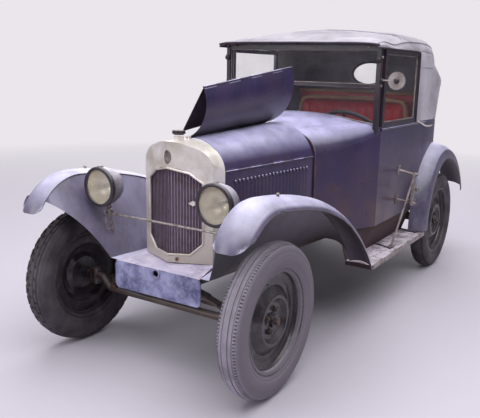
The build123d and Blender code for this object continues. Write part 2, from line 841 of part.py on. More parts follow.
def side_section(front):
    x, z = (side_hinge_front_x, side_hinge_front_z) if front else (side_hinge_rear_x, side_hinge_rear_z)
    with BuildSketch(mode=Mode.PRIVATE) as section:
        with BuildLine():
            Polyline(
                (x, z - side_barrel_radius - 0.6),
                (x + 2, z - bonnet_side_height),
                (x + 2 - sheet, z - bonnet_side_height),
                (x - sheet, z - side_barrel_radius - 0.6),
                close=True,
            )
        make_face()
    return section.sketch


hinge_length = hypot(bonnet_run, hinge_drop)
centre_start = (0, st(bonnet_front_y), hinge_front_z)
centre_direction = (0, bonnet_run / hinge_length, hinge_drop / hinge_length)
side_start = (side_hinge_front_x, st(bonnet_front_y), side_hinge_front_z)
side_rise = (side_hinge_rear_x - side_hinge_front_x, bonnet_run, side_hinge_rear_z - side_hinge_front_z)
side_length = hypot(*side_rise)
side_direction = tuple(d / side_length for d in side_rise)


def make_bonnet_top(first):
    """Left top panel; its centre barrels are the odd or the even ones."""
    with BuildPart(mode=Mode.PRIVATE) as panel:
        with BuildSketch(cross_plane(bonnet_front_y)):
            add(top_section(True))
        with BuildSketch(cross_plane(bonnet_front_y + bonnet_run)):
            add(top_section(False))
        loft(ruled=True)
        add(hinge_barrels(centre_start, centre_direction, hinge_length, centre_barrel_radius, first,
                          (centre_barrel_radius, 2), (2 * centre_barrel_radius, sheet)))
        with BuildSketch(Plane(origin=centre_start, z_dir=centre_direction)):
            Circle(centre_pin_radius + running_clearance)
        extrude(amount=hinge_length, mode=Mode.SUBTRACT)
        add(hinge_barrels(side_start, side_direction, side_length, side_barrel_radius, 0,
                          (-sheet / 2, -side_barrel_radius), (sheet, 2 * side_barrel_radius)))
        with BuildSketch(Plane(origin=side_start, z_dir=side_direction)):
            Circle(side_pin_radius)
        extrude(amount=side_length)
    return panel.part


with BuildPart() as bonnet_top:
    add(make_bonnet_top(0))
keep(bonnet_top, "bonnet_top_left")

louvre_count = 21
louvre_pitch = 28.5
louvre_width = 17.0
louvre_out = 6.0
louvre_drop = 46.0
louvre_height = 192.0
louvre_start = (bonnet_run - (louvre_count - 1) * louvre_pitch - louvre_width) / 2
with BuildPart() as bonnet_side:
    with BuildSketch(cross_plane(bonnet_front_y)):
        add(side_section(True))
    with BuildSketch(cross_plane(bonnet_front_y + bonnet_run)):
        add(side_section(False))
    loft(ruled=True)
    for i in range(louvre_count):
        near = louvre_start + i * louvre_pitch
        far = near + louvre_width
        near_x, far_x = (side_start[0] + side_rise[0] * d / bonnet_run for d in (near, far))
        top_z = side_start[2] + side_rise[2] * near / bonnet_run - louvre_drop
        with BuildSketch(plan_plane(top_z - louvre_height)):
            with BuildLine():
                Polyline(
                    (near_x - 0.1, bonnet_front_y + near),
                    (far_x - 0.1, bonnet_front_y + far),
                    (far_x + 1 + louvre_out, bonnet_front_y + far),
                    close=True,
                )
            make_face()
        extrude(amount=louvre_height)
    add(hinge_barrels(side_start, side_direction, side_length, side_barrel_radius, 1,
                      (-sheet / 2, side_barrel_radius), (sheet, 2 * side_barrel_radius)))
    with BuildSketch(Plane(origin=side_start, z_dir=side_direction)):
        Circle(side_pin_radius + running_clearance)
    extrude(amount=side_length, mode=Mode.SUBTRACT)
keep(bonnet_side, "bonnet_side_left")

centre_hinge = Axis(centre_start, centre_direction)
side_hinge_right = Axis((-side_start[0], *side_start[1:]), (-side_direction[0], *side_direction[1:]))
raised_top = mirror(make_bonnet_top(1), about=Plane.YZ).rotate(centre_hinge, open_angle)
raised_side = mirror(bonnet_side.part, about=Plane.YZ).rotate(side_hinge_right, -fold_angle)
raised_side = raised_side.rotate(centre_hinge, open_angle)
with BuildPart() as bonnet_top_open:
    add(raised_top)
keep(bonnet_top_open, "bonnet_top_right")
with BuildPart() as bonnet_side_open:
    add(raised_side)
keep(bonnet_side_open, "bonnet_side_right")

# Sills between the side panels and the frame
with BuildPart() as bonnet_sills:
    for y, x, hinge_z in (
        (bonnet_front_y, side_hinge_front_x + 2, side_hinge_front_z),
        (bonnet_front_y + bonnet_run, side_hinge_rear_x + 2, side_hinge_rear_z),
    ):
        sill_top_z = hinge_z - bonnet_side_height - bonnet_gap
        with BuildSketch(cross_plane(y)):
            with BuildLine():
                Polyline(
                    (x, flange_z + seat_gap),
                    (x, sill_top_z),
                    (x - sheet, sill_top_z),
                    (x - sheet, flange_z + seat_gap + sheet),
                    (x - 18, flange_z + seat_gap + sheet),
                    (x - 18, flange_z + seat_gap),
                    close=True,
                )
            make_face()
    loft(ruled=True)
    mirror(about=Plane.YZ)
keep(bonnet_sills, "bonnet_sills")

with BuildPart() as bonnet_rod:
    rod_front = bonnet_gap + hinge_boss_length
    rod_start = tuple(o - d * rod_front for o, d in zip(centre_start, centre_direction))
    with BuildSketch(Plane(origin=rod_start, z_dir=centre_direction)):
        Circle(centre_pin_radius)
    extrude(amount=rod_front + hinge_length + bonnet_gap - 2 * seat_gap)
keep(bonnet_rod, "bonnet_hinge_rod")


# Scuttle: hollow, from the bonnet's rear outline to the windscreen
def scuttle_section(half, bottom, shoulder, corner_x, corner_z, top):
    with BuildSketch(mode=Mode.PRIVATE) as section:
        with BuildLine():
            Polyline((-half, shoulder), (-half, bottom), (half, bottom), (half, shoulder))
            k = 0.3
            mid = (half - (half - corner_x) * k, shoulder + (corner_z - shoulder) * (1 - k))
            ThreePointArc((half, shoulder), mid, (corner_x, corner_z))
            ThreePointArc((corner_x, corner_z), (0, top), (-corner_x, corner_z))
            ThreePointArc((-corner_x, corner_z), (-mid[0], mid[1]), (-half, shoulder))
        make_face()
    return section.sketch


def scuttle_form(inset, front_y, rear_y, lower):
    with BuildPart(mode=Mode.PRIVATE) as form:
        for y, half, bottom, shoulder, corner_x, corner_z, top in (
            (front_y, 332, floor_top_z + seat_gap, 960, 190, 1104, 1136),
            ((bonnet_rear_y + pillar_y) / 2, 456, floor_top_z + seat_gap, 1020, 300, 1125, 1160),
            (rear_y, body_half_width, body_bottom_z, 1080, 480, 1136, 1186),
        ):
            with BuildSketch(cross_plane(y)):
                add(scuttle_section(half - inset, bottom - lower, shoulder, corner_x - inset / 2, corner_z - inset,
                                    top - inset))
        loft()
    return form.part


with BuildPart() as scuttle:
    add(scuttle_form(0, bonnet_rear_y, pillar_y, 0))
    add(scuttle_form(12, bonnet_rear_y + 8, pillar_y + 1, 40), mode=Mode.SUBTRACT)
    with Locations((0, st(bonnet_rear_y + 4), crank_z + 9)):
        Box(2 * gearbox_radius + 24, 20, 2 * gearbox_radius + 24, mode=Mode.SUBTRACT)
keep(scuttle, "scuttle")

arch_inner_x = track / 2 - tyre_width / 2 - 14
arch_radius = tyre_radius + 28
# Body tub with its tail, the door opening on the right and arches over the rear wheels
door_front_y = pillar_y + 22
door_rear_y = window_rear_y - 20
door_bottom_z = 566.0
door_hinge_x = -body_half_width - 8
door_hinge_y = door_front_y - 6
door_hinge_zs = (680.0, 1020.0)
door_pin_radius = 4.0
with BuildPart() as body_tub:
    with BuildSketch(plan_plane(body_bottom_z)):
        add(tub_plan(body_half_width, 0))
    extrude(amount=waist_z - body_bottom_z)
    with BuildSketch(side_plane(-body_half_width - 10)):
        with BuildLine():
            Line((pillar_y, body_bottom_z), (pillar_y, waist_z))
            Line((pillar_y, waist_z), (tub_rear_y + 20, waist_z))
            ThreePointArc((tub_rear_y + 20, waist_z), (wheelbase + 360, waist_z - 131), (tail_end_y, tail_tip_z))
            Line((tail_end_y, tail_tip_z), (tail_end_y - 310, body_bottom_z))
            Line((tail_end_y - 310, body_bottom_z), (pillar_y, body_bottom_z))
        make_face()
    extrude(amount=2 * body_half_width + 20, mode=Mode.INTERSECT)
    with BuildSketch(plan_plane(body_bottom_z - 1)):
        with BuildLine():
            inner = body_half_width - wall
            Line((-inner, pillar_y - 1), (inner, pillar_y - 1))
            Line((inner, pillar_y - 1), (inner, quarter_y + 10))
            ThreePointArc((inner, quarter_y + 10), (inner - 50, tub_rear_y - 90), (inner - 140, tub_rear_y - 12))
            Line((inner - 140, tub_rear_y - 12), (140 - inner, tub_rear_y - 12))
            ThreePointArc((140 - inner, tub_rear_y - 12), (50 - inner, tub_rear_y - 90), (-inner, quarter_y + 10))
            Line((-inner, quarter_y + 10), (-inner, pillar_y - 1))
        make_face()
    extrude(amount=waist_z - body_bottom_z + 2, mode=Mode.SUBTRACT)
    for side in (1, -1):
        with Locations((side * (arch_inner_x + 60), st(wheelbase), tyre_radius)):
            Cylinder(arch_radius, 120, rotation=(0, 90, 0), mode=Mode.SUBTRACT)
    door_mid_y = (door_front_y + door_rear_y) / 2
    with Locations((-body_half_width, st(door_mid_y), (door_bottom_z + waist_z) / 2 + 20)):
        Box(3 * wall, door_rear_y - door_front_y, waist_z - door_bottom_z + 40, mode=Mode.SUBTRACT)
    for z in door_hinge_zs:
        for end in (1, -1):
            with Locations((-body_half_width - 2, st(door_hinge_y), z + end * 28)):
                Box(24, 18, 8)
        with Locations((door_hinge_x, st(door_hinge_y), z)):
            Cylinder(door_pin_radius, 60)
keep(body_tub, "body_tub")

# Right door with its window frame
door_gap = 5.0
with BuildPart() as door:
    with Locations((-body_half_width + wall / 2, st(door_mid_y), (door_bottom_z + door_gap + waist_z) / 2)):
        Box(wall, door_rear_y - door_front_y - 2 * door_gap, waist_z - door_bottom_z - door_gap)
    frame_top = window_top_z - 6
    with Locations((-body_half_width + 12, st(door_mid_y), (waist_z + frame_top) / 2)):
        Box(20, door_rear_y - door_front_y - 2 * door_gap, frame_top - waist_z)
        Box(30, door_rear_y - door_front_y - 2 * door_gap - 52, frame_top - waist_z - 52, mode=Mode.SUBTRACT)
    for z in door_hinge_zs:
        with Locations((door_hinge_x, st(door_hinge_y), z)):
            Cylinder(7, 44)
        with Locations((door_hinge_x + 4.6, st(door_hinge_y + 17), z)):
            Box(6, 34, 40)
        with Locations((door_hinge_x + 8, st(door_hinge_y + 24), z)):
            Box(8, 18, 40)
        with Locations((door_hinge_x, st(door_hinge_y), z)):
            Cylinder(door_pin_radius + running_clearance, 44, mode=Mode.SUBTRACT)
keep(door, "door_right")

with BuildPart() as door_glass:
    with Locations((-body_half_width + 12, st(door_mid_y), (waist_z + frame_top) / 2)):
        Box(5, door_rear_y - door_front_y - 2 * door_gap - 52.6, frame_top - waist_z - 52.6)
keep(door_glass, "door_glass")

# Left side window frame
side_mid_y = (pillar_y + 12 + window_rear_y) / 2
side_length = window_rear_y - pillar_y - 12
side_height = window_top_z - waist_z
with BuildPart() as side_frame:
    with Locations((body_half_width - 12, st(side_mid_y), waist_z + seat_gap + side_height / 2)):
        Box(22, side_length, side_height)
        Box(30, side_length - 56, side_height - 56, mode=Mode.SUBTRACT)
keep(side_frame, "side_window_left")

# Windscreen frame: pillars, header, division bar and sill
pillar_x = 522.7
header_z = 1579.5
division_z = 1358.0
pillar_foot_z = 1084.0
with BuildPart() as windscreen_frame:
    for side in (1, -1):
        with Locations((side * pillar_x, st(screen_y), (pillar_foot_z + header_z + 10) / 2)):
            Box(26, 34, header_z + 10 - pillar_foot_z)
    with Locations((0, st(screen_y), header_z - 4)):
        Box(2 * pillar_x + 20, 30, 32)
    with Locations((0, st(screen_y), division_z)):
        Box(2 * pillar_x, 14, 18)
    add(scuttle_form(-seat_gap, bonnet_rear_y, pillar_y, 0), mode=Mode.SUBTRACT)
keep(windscreen_frame, "windscreen_frame")


# Hood: cloth shell with rounded corners, open to the windscreen, the side windows and the cabin
def hood_form(inset, front):
    half = body_half_width + 2 - inset
    with BuildPart(mode=Mode.PRIVATE) as form:
        with BuildSketch(side_plane(-half - 10)):
            with BuildLine():
                Line((front, waist_z + seat_gap), (front, 1606 - inset))
                peak = (wheelbase - 400, hood_top_z - inset)
                turn = (wheelbase - inset, hood_top_z - 110)
                back = (wheelbase + 20 - inset, hood_top_z - 280)
                ThreePointArc((front, 1606 - inset), (wheelbase - 800, hood_top_z - 16 - inset), peak)
                ThreePointArc(peak, (wheelbase - 190, hood_top_z - 18 - inset), turn)
                ThreePointArc(turn, (wheelbase + 46 - inset, hood_top_z - 175), back)
                Line(back, (tub_rear_y + 12 - inset, waist_z + seat_gap))
                Line((tub_rear_y + 12 - inset, waist_z + seat_gap), (front, waist_z + seat_gap))
            make_face()
        extrude(amount=2 * half + 20)
        with BuildSketch(cross_plane(front - 10)):
            with BuildLine():
                Line((-half, waist_z), (half, waist_z))
                cheek_z = hood_top_z - 130
                edge = (half - 130, hood_top_z - 30 - inset)
                turn_z = hood_top_z - 68 - inset * 0.6
                Line((half, waist_z), (half, cheek_z))
                ThreePointArc((half, cheek_z), (half - 40, turn_z), edge)
                ThreePointArc(edge, (0, hood_top_z - inset), (-edge[0], edge[1]))
                ThreePointArc((-edge[0], edge[1]), (40 - half, turn_z), (-half, cheek_z))
                Line((-half, cheek_z), (-half, waist_z))
            make_face()
        extrude(amount=front - wheelbase - 100, mode=Mode.INTERSECT)
        with BuildSketch(plan_plane(waist_z)):
            with BuildLine():
                Line((-half, front - 5), (half, front - 5))
                rear = wheelbase + 50 - inset
                Line((half, front - 5), (half, quarter_y + 10))
                ThreePointArc((half, quarter_y + 10), (half - 50, rear - 120), (half - 190, rear))
                Line((half - 190, rear), (190 - half, rear))
                ThreePointArc((190 - half, rear), (50 - half, rear - 120), (-half, quarter_y + 10))
                Line((-half, quarter_y + 10), (-half, front - 5))
            make_face()
        extrude(amount=800, mode=Mode.INTERSECT)
    return form.part


hood_front_y = pillar_y - 108
oval_z = 1425.0
oval_half_width = 140.0
oval_half_height = 86.0
with BuildPart() as hood:
    add(hood_form(0, hood_front_y))
    add(hood_form(hood_cloth, hood_front_y - 20), mode=Mode.SUBTRACT)
    opening_front = hood_front_y - 7
    opening_rear = window_rear_y + seat_gap
    opening_top = window_top_z + 2 * seat_gap
    with Locations((0, st((opening_front + opening_rear) / 2), (waist_z + opening_top - 2) / 2)):
        Box(3 * body_half_width, opening_rear - opening_front, opening_top - waist_z + 2, mode=Mode.SUBTRACT)
    with BuildSketch(cross_plane(wheelbase - 100)):
        with Locations((0, oval_z)):
            Ellipse(oval_half_width, oval_half_height)
    extrude(amount=-200, mode=Mode.SUBTRACT)
keep(hood, "hood")

# Glass: the upper and lower windscreen panes, the left side pane and the oval rear pane
with BuildPart() as glazing:
    for low, high in ((1100, division_z - 9.3), (division_z + 9.3, header_z - 20.3)):
        with Locations((0, st(screen_y), (low + high) / 2)):
            Box(2 * pillar_x - 26.6, 5, high - low)
    add(scuttle_form(-seat_gap, bonnet_rear_y, pillar_y, 0), mode=Mode.SUBTRACT)
    with Locations((body_half_width - 12, st(side_mid_y), waist_z + seat_gap + side_height / 2)):
        Box(5, side_length - 56.6, side_height - 56.6)
    with BuildSketch(cross_plane(wheelbase - 100)):
        with Locations((0, oval_z)):
            Ellipse(oval_half_width - 0.3, oval_half_height - 0.3)
    extrude(amount=-200)
    with BuildPart(mode=Mode.PRIVATE) as pane_zone:
        add(hood_form(hood_cloth / 2 - 2, hood_front_y))
        add(hood_form(hood_cloth / 2 + 2, hood_front_y - 20), mode=Mode.SUBTRACT)
    with BuildPart(mode=Mode.PRIVATE) as keep_zone:
        with Locations((0, st((screen_y + window_rear_y) / 2 - 40), 1350)):
            Box(1200, window_rear_y - screen_y + 120, 800)
        add(pane_zone.part)
    add(keep_zone.part, mode=Mode.INTERSECT)
keep(glazing, "glazing")

# Floor, seat, dashboard and steering
toe_y = 1105.0
with BuildPart() as floor:
    with BuildSketch(plan_plane(rail_top_z + seat_gap)):
        with BuildLine():
            Polyline(
                (328, bonnet_rear_y + 1),
                (452, (bonnet_rear_y + pillar_y) / 2),
                (body_half_width - 1, pillar_y),
                (body_half_width - 1, tub_rear_y - 40),
                (-body_half_width + 1, tub_rear_y - 40),
                (-body_half_width + 1, pillar_y),
                (-452, (bonnet_rear_y + pillar_y) / 2),
                (-328, bonnet_rear_y + 1),
                close=True,
            )
        make_face()
    extrude(amount=floor_top_z - rail_top_z - seat_gap)
    with Locations((0, st(980), rail_top_z + 10)):
        Box(2 * gearbox_radius + 24, 2 * (toe_y - 980), 60, mode=Mode.SUBTRACT)
    for side in (1, -1):
        with Locations((side * (arch_inner_x + 60), st(wheelbase), tyre_radius)):
            Cylinder(arch_radius, 120, rotation=(0, 90, 0), mode=Mode.SUBTRACT)
    for x, low_y, high_y, high_z, pad in (
        (185, 1110, 1168, 640, (62, 8, 74)),
        (318, 1110, 1168, 640, (62, 8, 74)),
        (388, 1116, 1160, 610, (40, 8, 96)),
        (135, 1150, 1238, 800, (16, 16, 90)),
    ):
        start = (x, st(low_y), floor_top_z - 4)
        run = (0, high_y - low_y, high_z - floor_top_z + 4)
        with BuildSketch(Plane(origin=start, x_dir=(1, 0, 0), z_dir=run)):
            Circle(7)
        extrude(amount=hypot(*run))
        with Locations((x, st(high_y), high_z)):
            Box(*pad)
keep(floor, "floor")

seat_half_width = body_half_width - wall - 50
seat_front_y = wheelbase - 700
seat_back_y = wheelbase - 350
with BuildPart() as seat:
    with Locations((0, st((seat_front_y + seat_back_y + 60) / 2), floor_top_z + seat_gap + 140)):
        Box(2 * seat_half_width, seat_back_y + 60 - seat_front_y, 280)
    with Locations((0, st(seat_back_y + 100), floor_top_z + seat_gap + 360)):
        Box(2 * seat_half_width - 60, 130, 720)
keep(seat, "seat")

with BuildPart() as dashboard:
    with Locations((0, st(screen_y - 10), 1030)):
        Box(2 * body_half_width, 16, 110)
    add(scuttle_form(12 + seat_gap, bonnet_rear_y + 8, pillar_y + 1, 40), mode=Mode.INTERSECT)
keep(dashboard, "dashboard")

# Steering column and wheel, driver on the left
steer_x = 250.0
wheel_centre = (steer_x, st(pillar_y + 240), 1040.0)
column_tilt = 43.0
column_dir = (0, cos(radians(column_tilt)), sin(radians(column_tilt)))
column_length = 655.0
hub_half = 24.0
with BuildPart() as steering_column:
    low = tuple(wheel_centre[i] - column_dir[i] * (column_length + hub_half + seat_gap) for i in range(3))
    with BuildSketch(Plane(origin=low, z_dir=column_dir)):
        Circle(17)
    extrude(amount=column_length)
    case_low_z = floor_top_z + seat_gap
    case_high_z = low[2] + 26
    with Locations((steer_x, low[1] - 20, (case_low_z + case_high_z) / 2)):
        Box(64, 100, case_high_z - case_low_z)
keep(steering_column, "steering_column")

steering_wheel_radius = 205.0
with BuildPart() as steering_wheel:
    rim_normal = (0, -column_dir[2], column_dir[1])
    with BuildSketch(Plane(origin=wheel_centre, x_dir=(1, 0, 0), z_dir=rim_normal)):
        with Locations((steering_wheel_radius, 0)):
            Circle(13)
    revolve(axis=Axis(wheel_centre, column_dir))
    with BuildSketch(Plane(origin=wheel_centre, x_dir=(1, 0, 0), z_dir=column_dir)):
        for angle in (0, 90, 180, 270):
            with PolarLocations(steering_wheel_radius / 2, 1, start_angle=angle):
                Rectangle(steering_wheel_radius, 16)
    extrude(amount=4, both=True)
    with BuildSketch(Plane(origin=wheel_centre, z_dir=column_dir)):
        Circle(30)
    extrude(amount=hub_half, both=True)
keep(steering_wheel, "steering_wheel")

# Headlamps on stems from the lamp bar
lamp_bar_z = 718.0
lamp_axis = Axis((lamp_x, st(lamp_y), lamp_z), (0, 1, 0))


def lamp_form(radius, back):
    """Turned form of a lamp: a short drum closed by a deep rounded back."""
    with BuildPart(mode=Mode.PRIVATE) as form:
        with BuildSketch(Plane(origin=(lamp_x, st(lamp_y), lamp_z), x_dir=(0, 1, 0), z_dir=(1, 0, 0))):
            with BuildLine():
                bowl = ((10, 0.965), (40, 0.86), (66, 0.68), (86, 0.42), (back - 2, 0.16))
                Polyline((back, 0), (-41, 0), (-41, radius), (-20, radius), *((u, radius * k) for u, k in bowl),
                         (back, 0))
            make_face()
        revolve(axis=lamp_axis)
    return form.part


with BuildPart() as headlamp:
    add(lamp_form(lamp_radius, 102))
    stem_low = lamp_bar_z + 8 + seat_gap
    with Locations((lamp_x, st(lamp_y + 26), (stem_low + lamp_z - 60) / 2)):
        Cylinder(9, lamp_z - 60 - stem_low)
    add(lamp_form(lamp_radius - 6, 97), mode=Mode.SUBTRACT)
keep_pair(headlamp, "headlamp")

with BuildPart() as lamp_lenses:
    for side in (1, -1):
        with Locations((side * lamp_x, st(lamp_y - 34), lamp_z)):
            Cylinder(lamp_radius - 6 - seat_gap, 4, rotation=(90, 0, 0))
keep(lamp_lenses, "lamp_lenses")

strut_foot = (356.0, st(0), 590.0)
with BuildPart() as lamp_bar:
    with Locations((0, st(lamp_y + 26), lamp_bar_z)):
        Cylinder(6, 2 * lamp_x + 40, rotation=(0, 90, 0))
    with Locations((lamp_x, st(lamp_y + 26), lamp_bar_z)):
        Box(34, 34, 16)
    strut_top = (lamp_x, st(lamp_y + 26), lamp_bar_z)
    strut_dir = tuple(strut_foot[i] - strut_top[i] for i in range(3))
    with BuildSketch(Plane(origin=strut_top, z_dir=strut_dir)):
        Circle(7)
    extrude(amount=hypot(*strut_dir))
    add(valance_form(0.6, 90), mode=Mode.SUBTRACT)
    mirror(about=Plane.YZ)
keep(lamp_bar, "lamp_bar")

# Mirror on the left pillar
mirror_z = 1392.0
mirror_x = 632.0
with BuildPart() as door_mirror:
    with Locations((mirror_x, st(screen_y), mirror_z)):
        Cylinder(50, 10, rotation=(90, 0, 0))
    arm_start = pillar_x + 13 + seat_gap
    with Locations(((mirror_x + arm_start) / 2, st(screen_y), mirror_z)):
        Cylinder(5, mirror_x - arm_start, rotation=(0, 90, 0))
keep(door_mirror, "mirror")

# Spare wheel carrier on the left side: two arms, an upright and a stay to the running board
carrier_y = wheelbase - 740.0
carrier_x = 650.0
carrier_high_z = 821.0
carrier_low_z = 628.0
arm_radius = 8.0
with BuildPart() as spare_carrier:
    wall_x = body_half_width + seat_gap
    ends = []
    for z, drop, slew in ((carrier_high_z, 22, 22), (carrier_low_z, 15, 8)):
        with Locations((wall_x + 3, st(carrier_y - 6), z)):
            Box(6, 46, 62)
        start = (wall_x + 4, st(carrier_y - 6), z)
        end = (carrier_x, st(carrier_y - 6 + slew), z - drop)
        ends.append(end)
        run = tuple(e - o for e, o in zip(end, start))
        with BuildSketch(Plane(origin=start, z_dir=run)):
            Circle(arm_radius)
        extrude(amount=hypot(*run))
    high, low_end = ends
    upright = tuple(h - o for h, o in zip(high, low_end))
    foot = tuple(o - d * 0.08 for o, d in zip(low_end, upright))
    with BuildSketch(Plane(origin=foot, x_dir=(1, 0, 0), z_dir=upright)):
        Rectangle(14, 34)
    extrude(amount=hypot(*upright) * 1.16)
    stud = (carrier_x, (high[1] + low_end[1]) / 2, (high[2] + low_end[2]) / 2)
    with Locations(stud):
        Cylinder(10, 52, rotation=(0, 90, 0))
    stay_foot = (carrier_x - 62, st(carrier_y - 160), board_top_z + seat_gap + 3)
    stay_run = tuple(h - f for h, f in zip(high, stay_foot))
    with BuildSketch(Plane(origin=stay_foot, z_dir=stay_run)):
        Circle(arm_radius - 1)
    extrude(amount=hypot(*stay_run))
    with Locations(stay_foot):
        Box(44, 60, 6)
keep(spare_carrier, "spare_carrier")

# Exhaust pipe and silencer under the right side
with BuildPart() as exhaust:
    with BuildLine() as pipe:
        FilletPolyline(
            (manifold_x, st(manifold_rear_y) + seat_gap, manifold_z),
            (manifold_x, st(manifold_rear_y + 60), manifold_z),
            (-190, st(840), 390),
            (-200, st(1100), 330),
            (-200, st(wheelbase - 380), 330),
            radius=50,
        )
    with BuildSketch(Plane(origin=pipe.line @ 0, z_dir=pipe.line % 0)):
        Circle(20)
    sweep(path=pipe.line)
    with Locations((-200, st(wheelbase - 850), 330)):
        Cylinder(60, 480, rotation=(90, 0, 0))
keep(exhaust, "exhaust")

box = Compound(children=list(parts.values())).bounding_box()
print("nodes", len(parts), "min", box.min, "max", box.max)
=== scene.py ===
import math

import bpy
from mathutils import Matrix, Vector, noise


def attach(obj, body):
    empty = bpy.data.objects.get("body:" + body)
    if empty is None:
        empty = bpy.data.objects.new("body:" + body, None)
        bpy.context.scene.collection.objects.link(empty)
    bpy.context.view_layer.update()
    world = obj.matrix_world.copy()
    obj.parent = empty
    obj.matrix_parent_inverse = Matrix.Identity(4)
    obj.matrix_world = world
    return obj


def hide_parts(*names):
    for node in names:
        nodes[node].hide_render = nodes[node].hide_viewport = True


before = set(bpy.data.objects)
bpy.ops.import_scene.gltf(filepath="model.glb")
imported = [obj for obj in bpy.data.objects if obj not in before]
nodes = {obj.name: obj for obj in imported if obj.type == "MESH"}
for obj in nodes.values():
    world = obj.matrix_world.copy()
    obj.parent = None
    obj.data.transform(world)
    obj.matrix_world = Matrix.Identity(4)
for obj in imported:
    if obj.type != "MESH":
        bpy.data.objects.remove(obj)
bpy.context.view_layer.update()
print("frame loaded:", len(nodes), "nodes")

frontAxleY = -1.332  # metres; stations below are measured rearward from here
trackHalf, axleZ = 0.575, 0.355
mirrorX = Matrix.Diagonal((-1, 1, 1, 1))


def st(y):
    return frontAxleY + y


def at(x, y, z):
    return Vector((x, st(y), z))


def tone(red, green, blue):  # a colour as seen on screen, made linear
    def straighten(c):
        c = c / 255
        return ((c + 0.055) / 1.055) ** 2.4 if c > 0.04045 else c / 12.92
    return (straighten(red), straighten(green), straighten(blue), 1)


class Wiring:  # short hand for placing and linking nodes in one tree
    def __init__(self, tree):
        self.tree = tree

    def add(self, kind, **values):
        node = self.tree.nodes.new("ShaderNode" + kind)
        for k, v in values.items():
            setattr(node, k, v)
        return node

    def link(self, a, b):
        self.tree.links.new(a, b)

    def put(self, socket, value):
        if isinstance(value, bpy.types.NodeSocket):
            self.link(value, socket)
        else:
            socket.default_value = value

    def fill(self, node, **values):  # inputs by their label; gives the first output
        for label, value in values.items():
            self.put(node.inputs[label.replace("_", " ")], value)
        return node.outputs[0] if len(node.outputs) else None

    def row(self, node, *values):  # inputs in their order
        for socket, value in zip(node.inputs, values):
            self.put(socket, value)
        return node.outputs[0]

    def math(self, operation, *values, clamp=False):
        return self.row(self.add("Math", operation=operation, use_clamp=clamp), *values)

    def times(self, *values, **more):
        return self.math("MULTIPLY", *values, **more)

    def plus(self, *values, **more):
        return self.math("ADD", *values, **more)

    def mix(self, factor, a, b):
        node = self.add("Mix", data_type="RGBA")
        self.fill(node, Factor=factor, A=a, B=b)
        return node.outputs["Result"]

    def noise(self, place, scale, detail=4.0, rough=0.55):
        return self.fill(self.add("TexNoise"), Vector=place, Scale=scale, Detail=detail, Roughness=rough)

    def ramp(self, value, low, high):
        return self.fill(self.add("MapRange", clamp=True), Value=value, From_Min=low, From_Max=high)

    def place(self):
        return self.add("TexCoord").outputs["Object"]

    def stretched(self, place, scale):
        return self.fill(self.add("Mapping"), Vector=place, Scale=scale)

    def parts(self, vector):
        node = self.add("SeparateXYZ")
        self.link(vector, node.inputs[0])
        return node.outputs

    def normal(self):
        return self.add("NewGeometry").outputs["Normal"]


def newObject(name, data):
    thing = bpy.data.objects.new(name, data)
    bpy.context.scene.collection.objects.link(thing)
    return thing


# Camera, floor and light
cameraLook = {"place": (1.8933, -3.5941, 1.4429), "yaw": 31.0485, "pitch": 12.6068, "roll": 1.5293,
              "lens": 47.19, "shiftX": -0.05}


def placeCamera(look):
    yaw, pitch, roll = (math.radians(look[k]) for k in ("yaw", "pitch", "roll"))
    back = Vector((math.sin(yaw) * math.cos(pitch), -math.cos(yaw) * math.cos(pitch), math.sin(pitch)))
    x = Vector((0, 0, 1)).cross(back).normalized()
    y = back.cross(x)
    side, up = math.cos(roll) * x + math.sin(roll) * y, math.cos(roll) * y - math.sin(roll) * x
    camera = newObject("camera", bpy.data.cameras.new("camera"))
    camera.data.lens, camera.data.shift_x, camera.data.sensor_width = look["lens"], look["shiftX"], 36
    camera.matrix_world = Matrix.Translation(look["place"]) @ Matrix((side, up, back)).transposed().to_4x4()
    bpy.context.scene.camera = camera


# each lamp: place, aim, size, power
lightLook = {"lamps": {"top": ((0.4, -0.4, 4.4), (0, 0, 0.6), (6, 8), 380),
                       "front": ((-2.6, -5.6, 2.6), (0, -0.6, 0.7), (3, 2.4), 75),
                       "side": ((5.6, 0.6, 2.4), (0, 0.2, 0.8), (4, 2.4), 4),
                       "back": ((-3.4, 5.6, 3.0), (0, 0.2, 0.9), (7, 3), 130)},
             "sky": 0.42, "horizon": 0.07, "backdrop": tone(234, 230, 236), "floor": tone(190, 184, 196)}


def placeLight(name, place, aim, size, power):
    lamp = newObject(name + "Lamp", bpy.data.lights.new(name + "Lamp", "AREA"))
    lamp.data.shape = "RECTANGLE"
    lamp.data.size, lamp.data.size_y = size
    lamp.data.energy = power
    lamp.location = place
    lamp.rotation_euler = (Vector(place) - Vector(aim)).to_track_quat("Z", "Y").to_euler()


def setWorld(look):
    world = bpy.data.worlds.new("studio")
    bpy.context.scene.world = world
    world.use_nodes = True
    world.node_tree.nodes.clear()
    w = Wiring(world.node_tree)
    high = w.parts(w.add("TexCoord").outputs["Generated"])["Z"]
    strength = w.plus(w.times(w.ramp(high, -0.1, 0.75), look["sky"]), look["horizon"])
    light = w.fill(w.add("Background"), Color=(0.93, 0.95, 1, 1), Strength=strength)
    seen = w.fill(w.add("Background"), Color=look["backdrop"], Strength=1)
    path = w.add("LightPath").outputs
    either = w.math("MAXIMUM", path["Is Camera Ray"], path["Is Transmission Ray"])
    w.link(w.row(w.add("MixShader"), either, light, seen), w.add("OutputWorld").inputs[0])


placeCamera(cameraLook)
for lampName, lampValues in lightLook["lamps"].items():
    placeLight(lampName, *lampValues)
setWorld(lightLook)
bpy.context.scene.view_settings.view_transform = "Standard"


# Modelling helpers
def objectMode():
    bpy.ops.object.mode_set(mode="OBJECT")


def deselectAll():
    if bpy.context.mode != "OBJECT":
        objectMode()
    bpy.ops.object.select_all(action="DESELECT")


def makeActive(piece):
    deselectAll()
    piece.select_set(True)
    bpy.context.view_layer.objects.active = piece


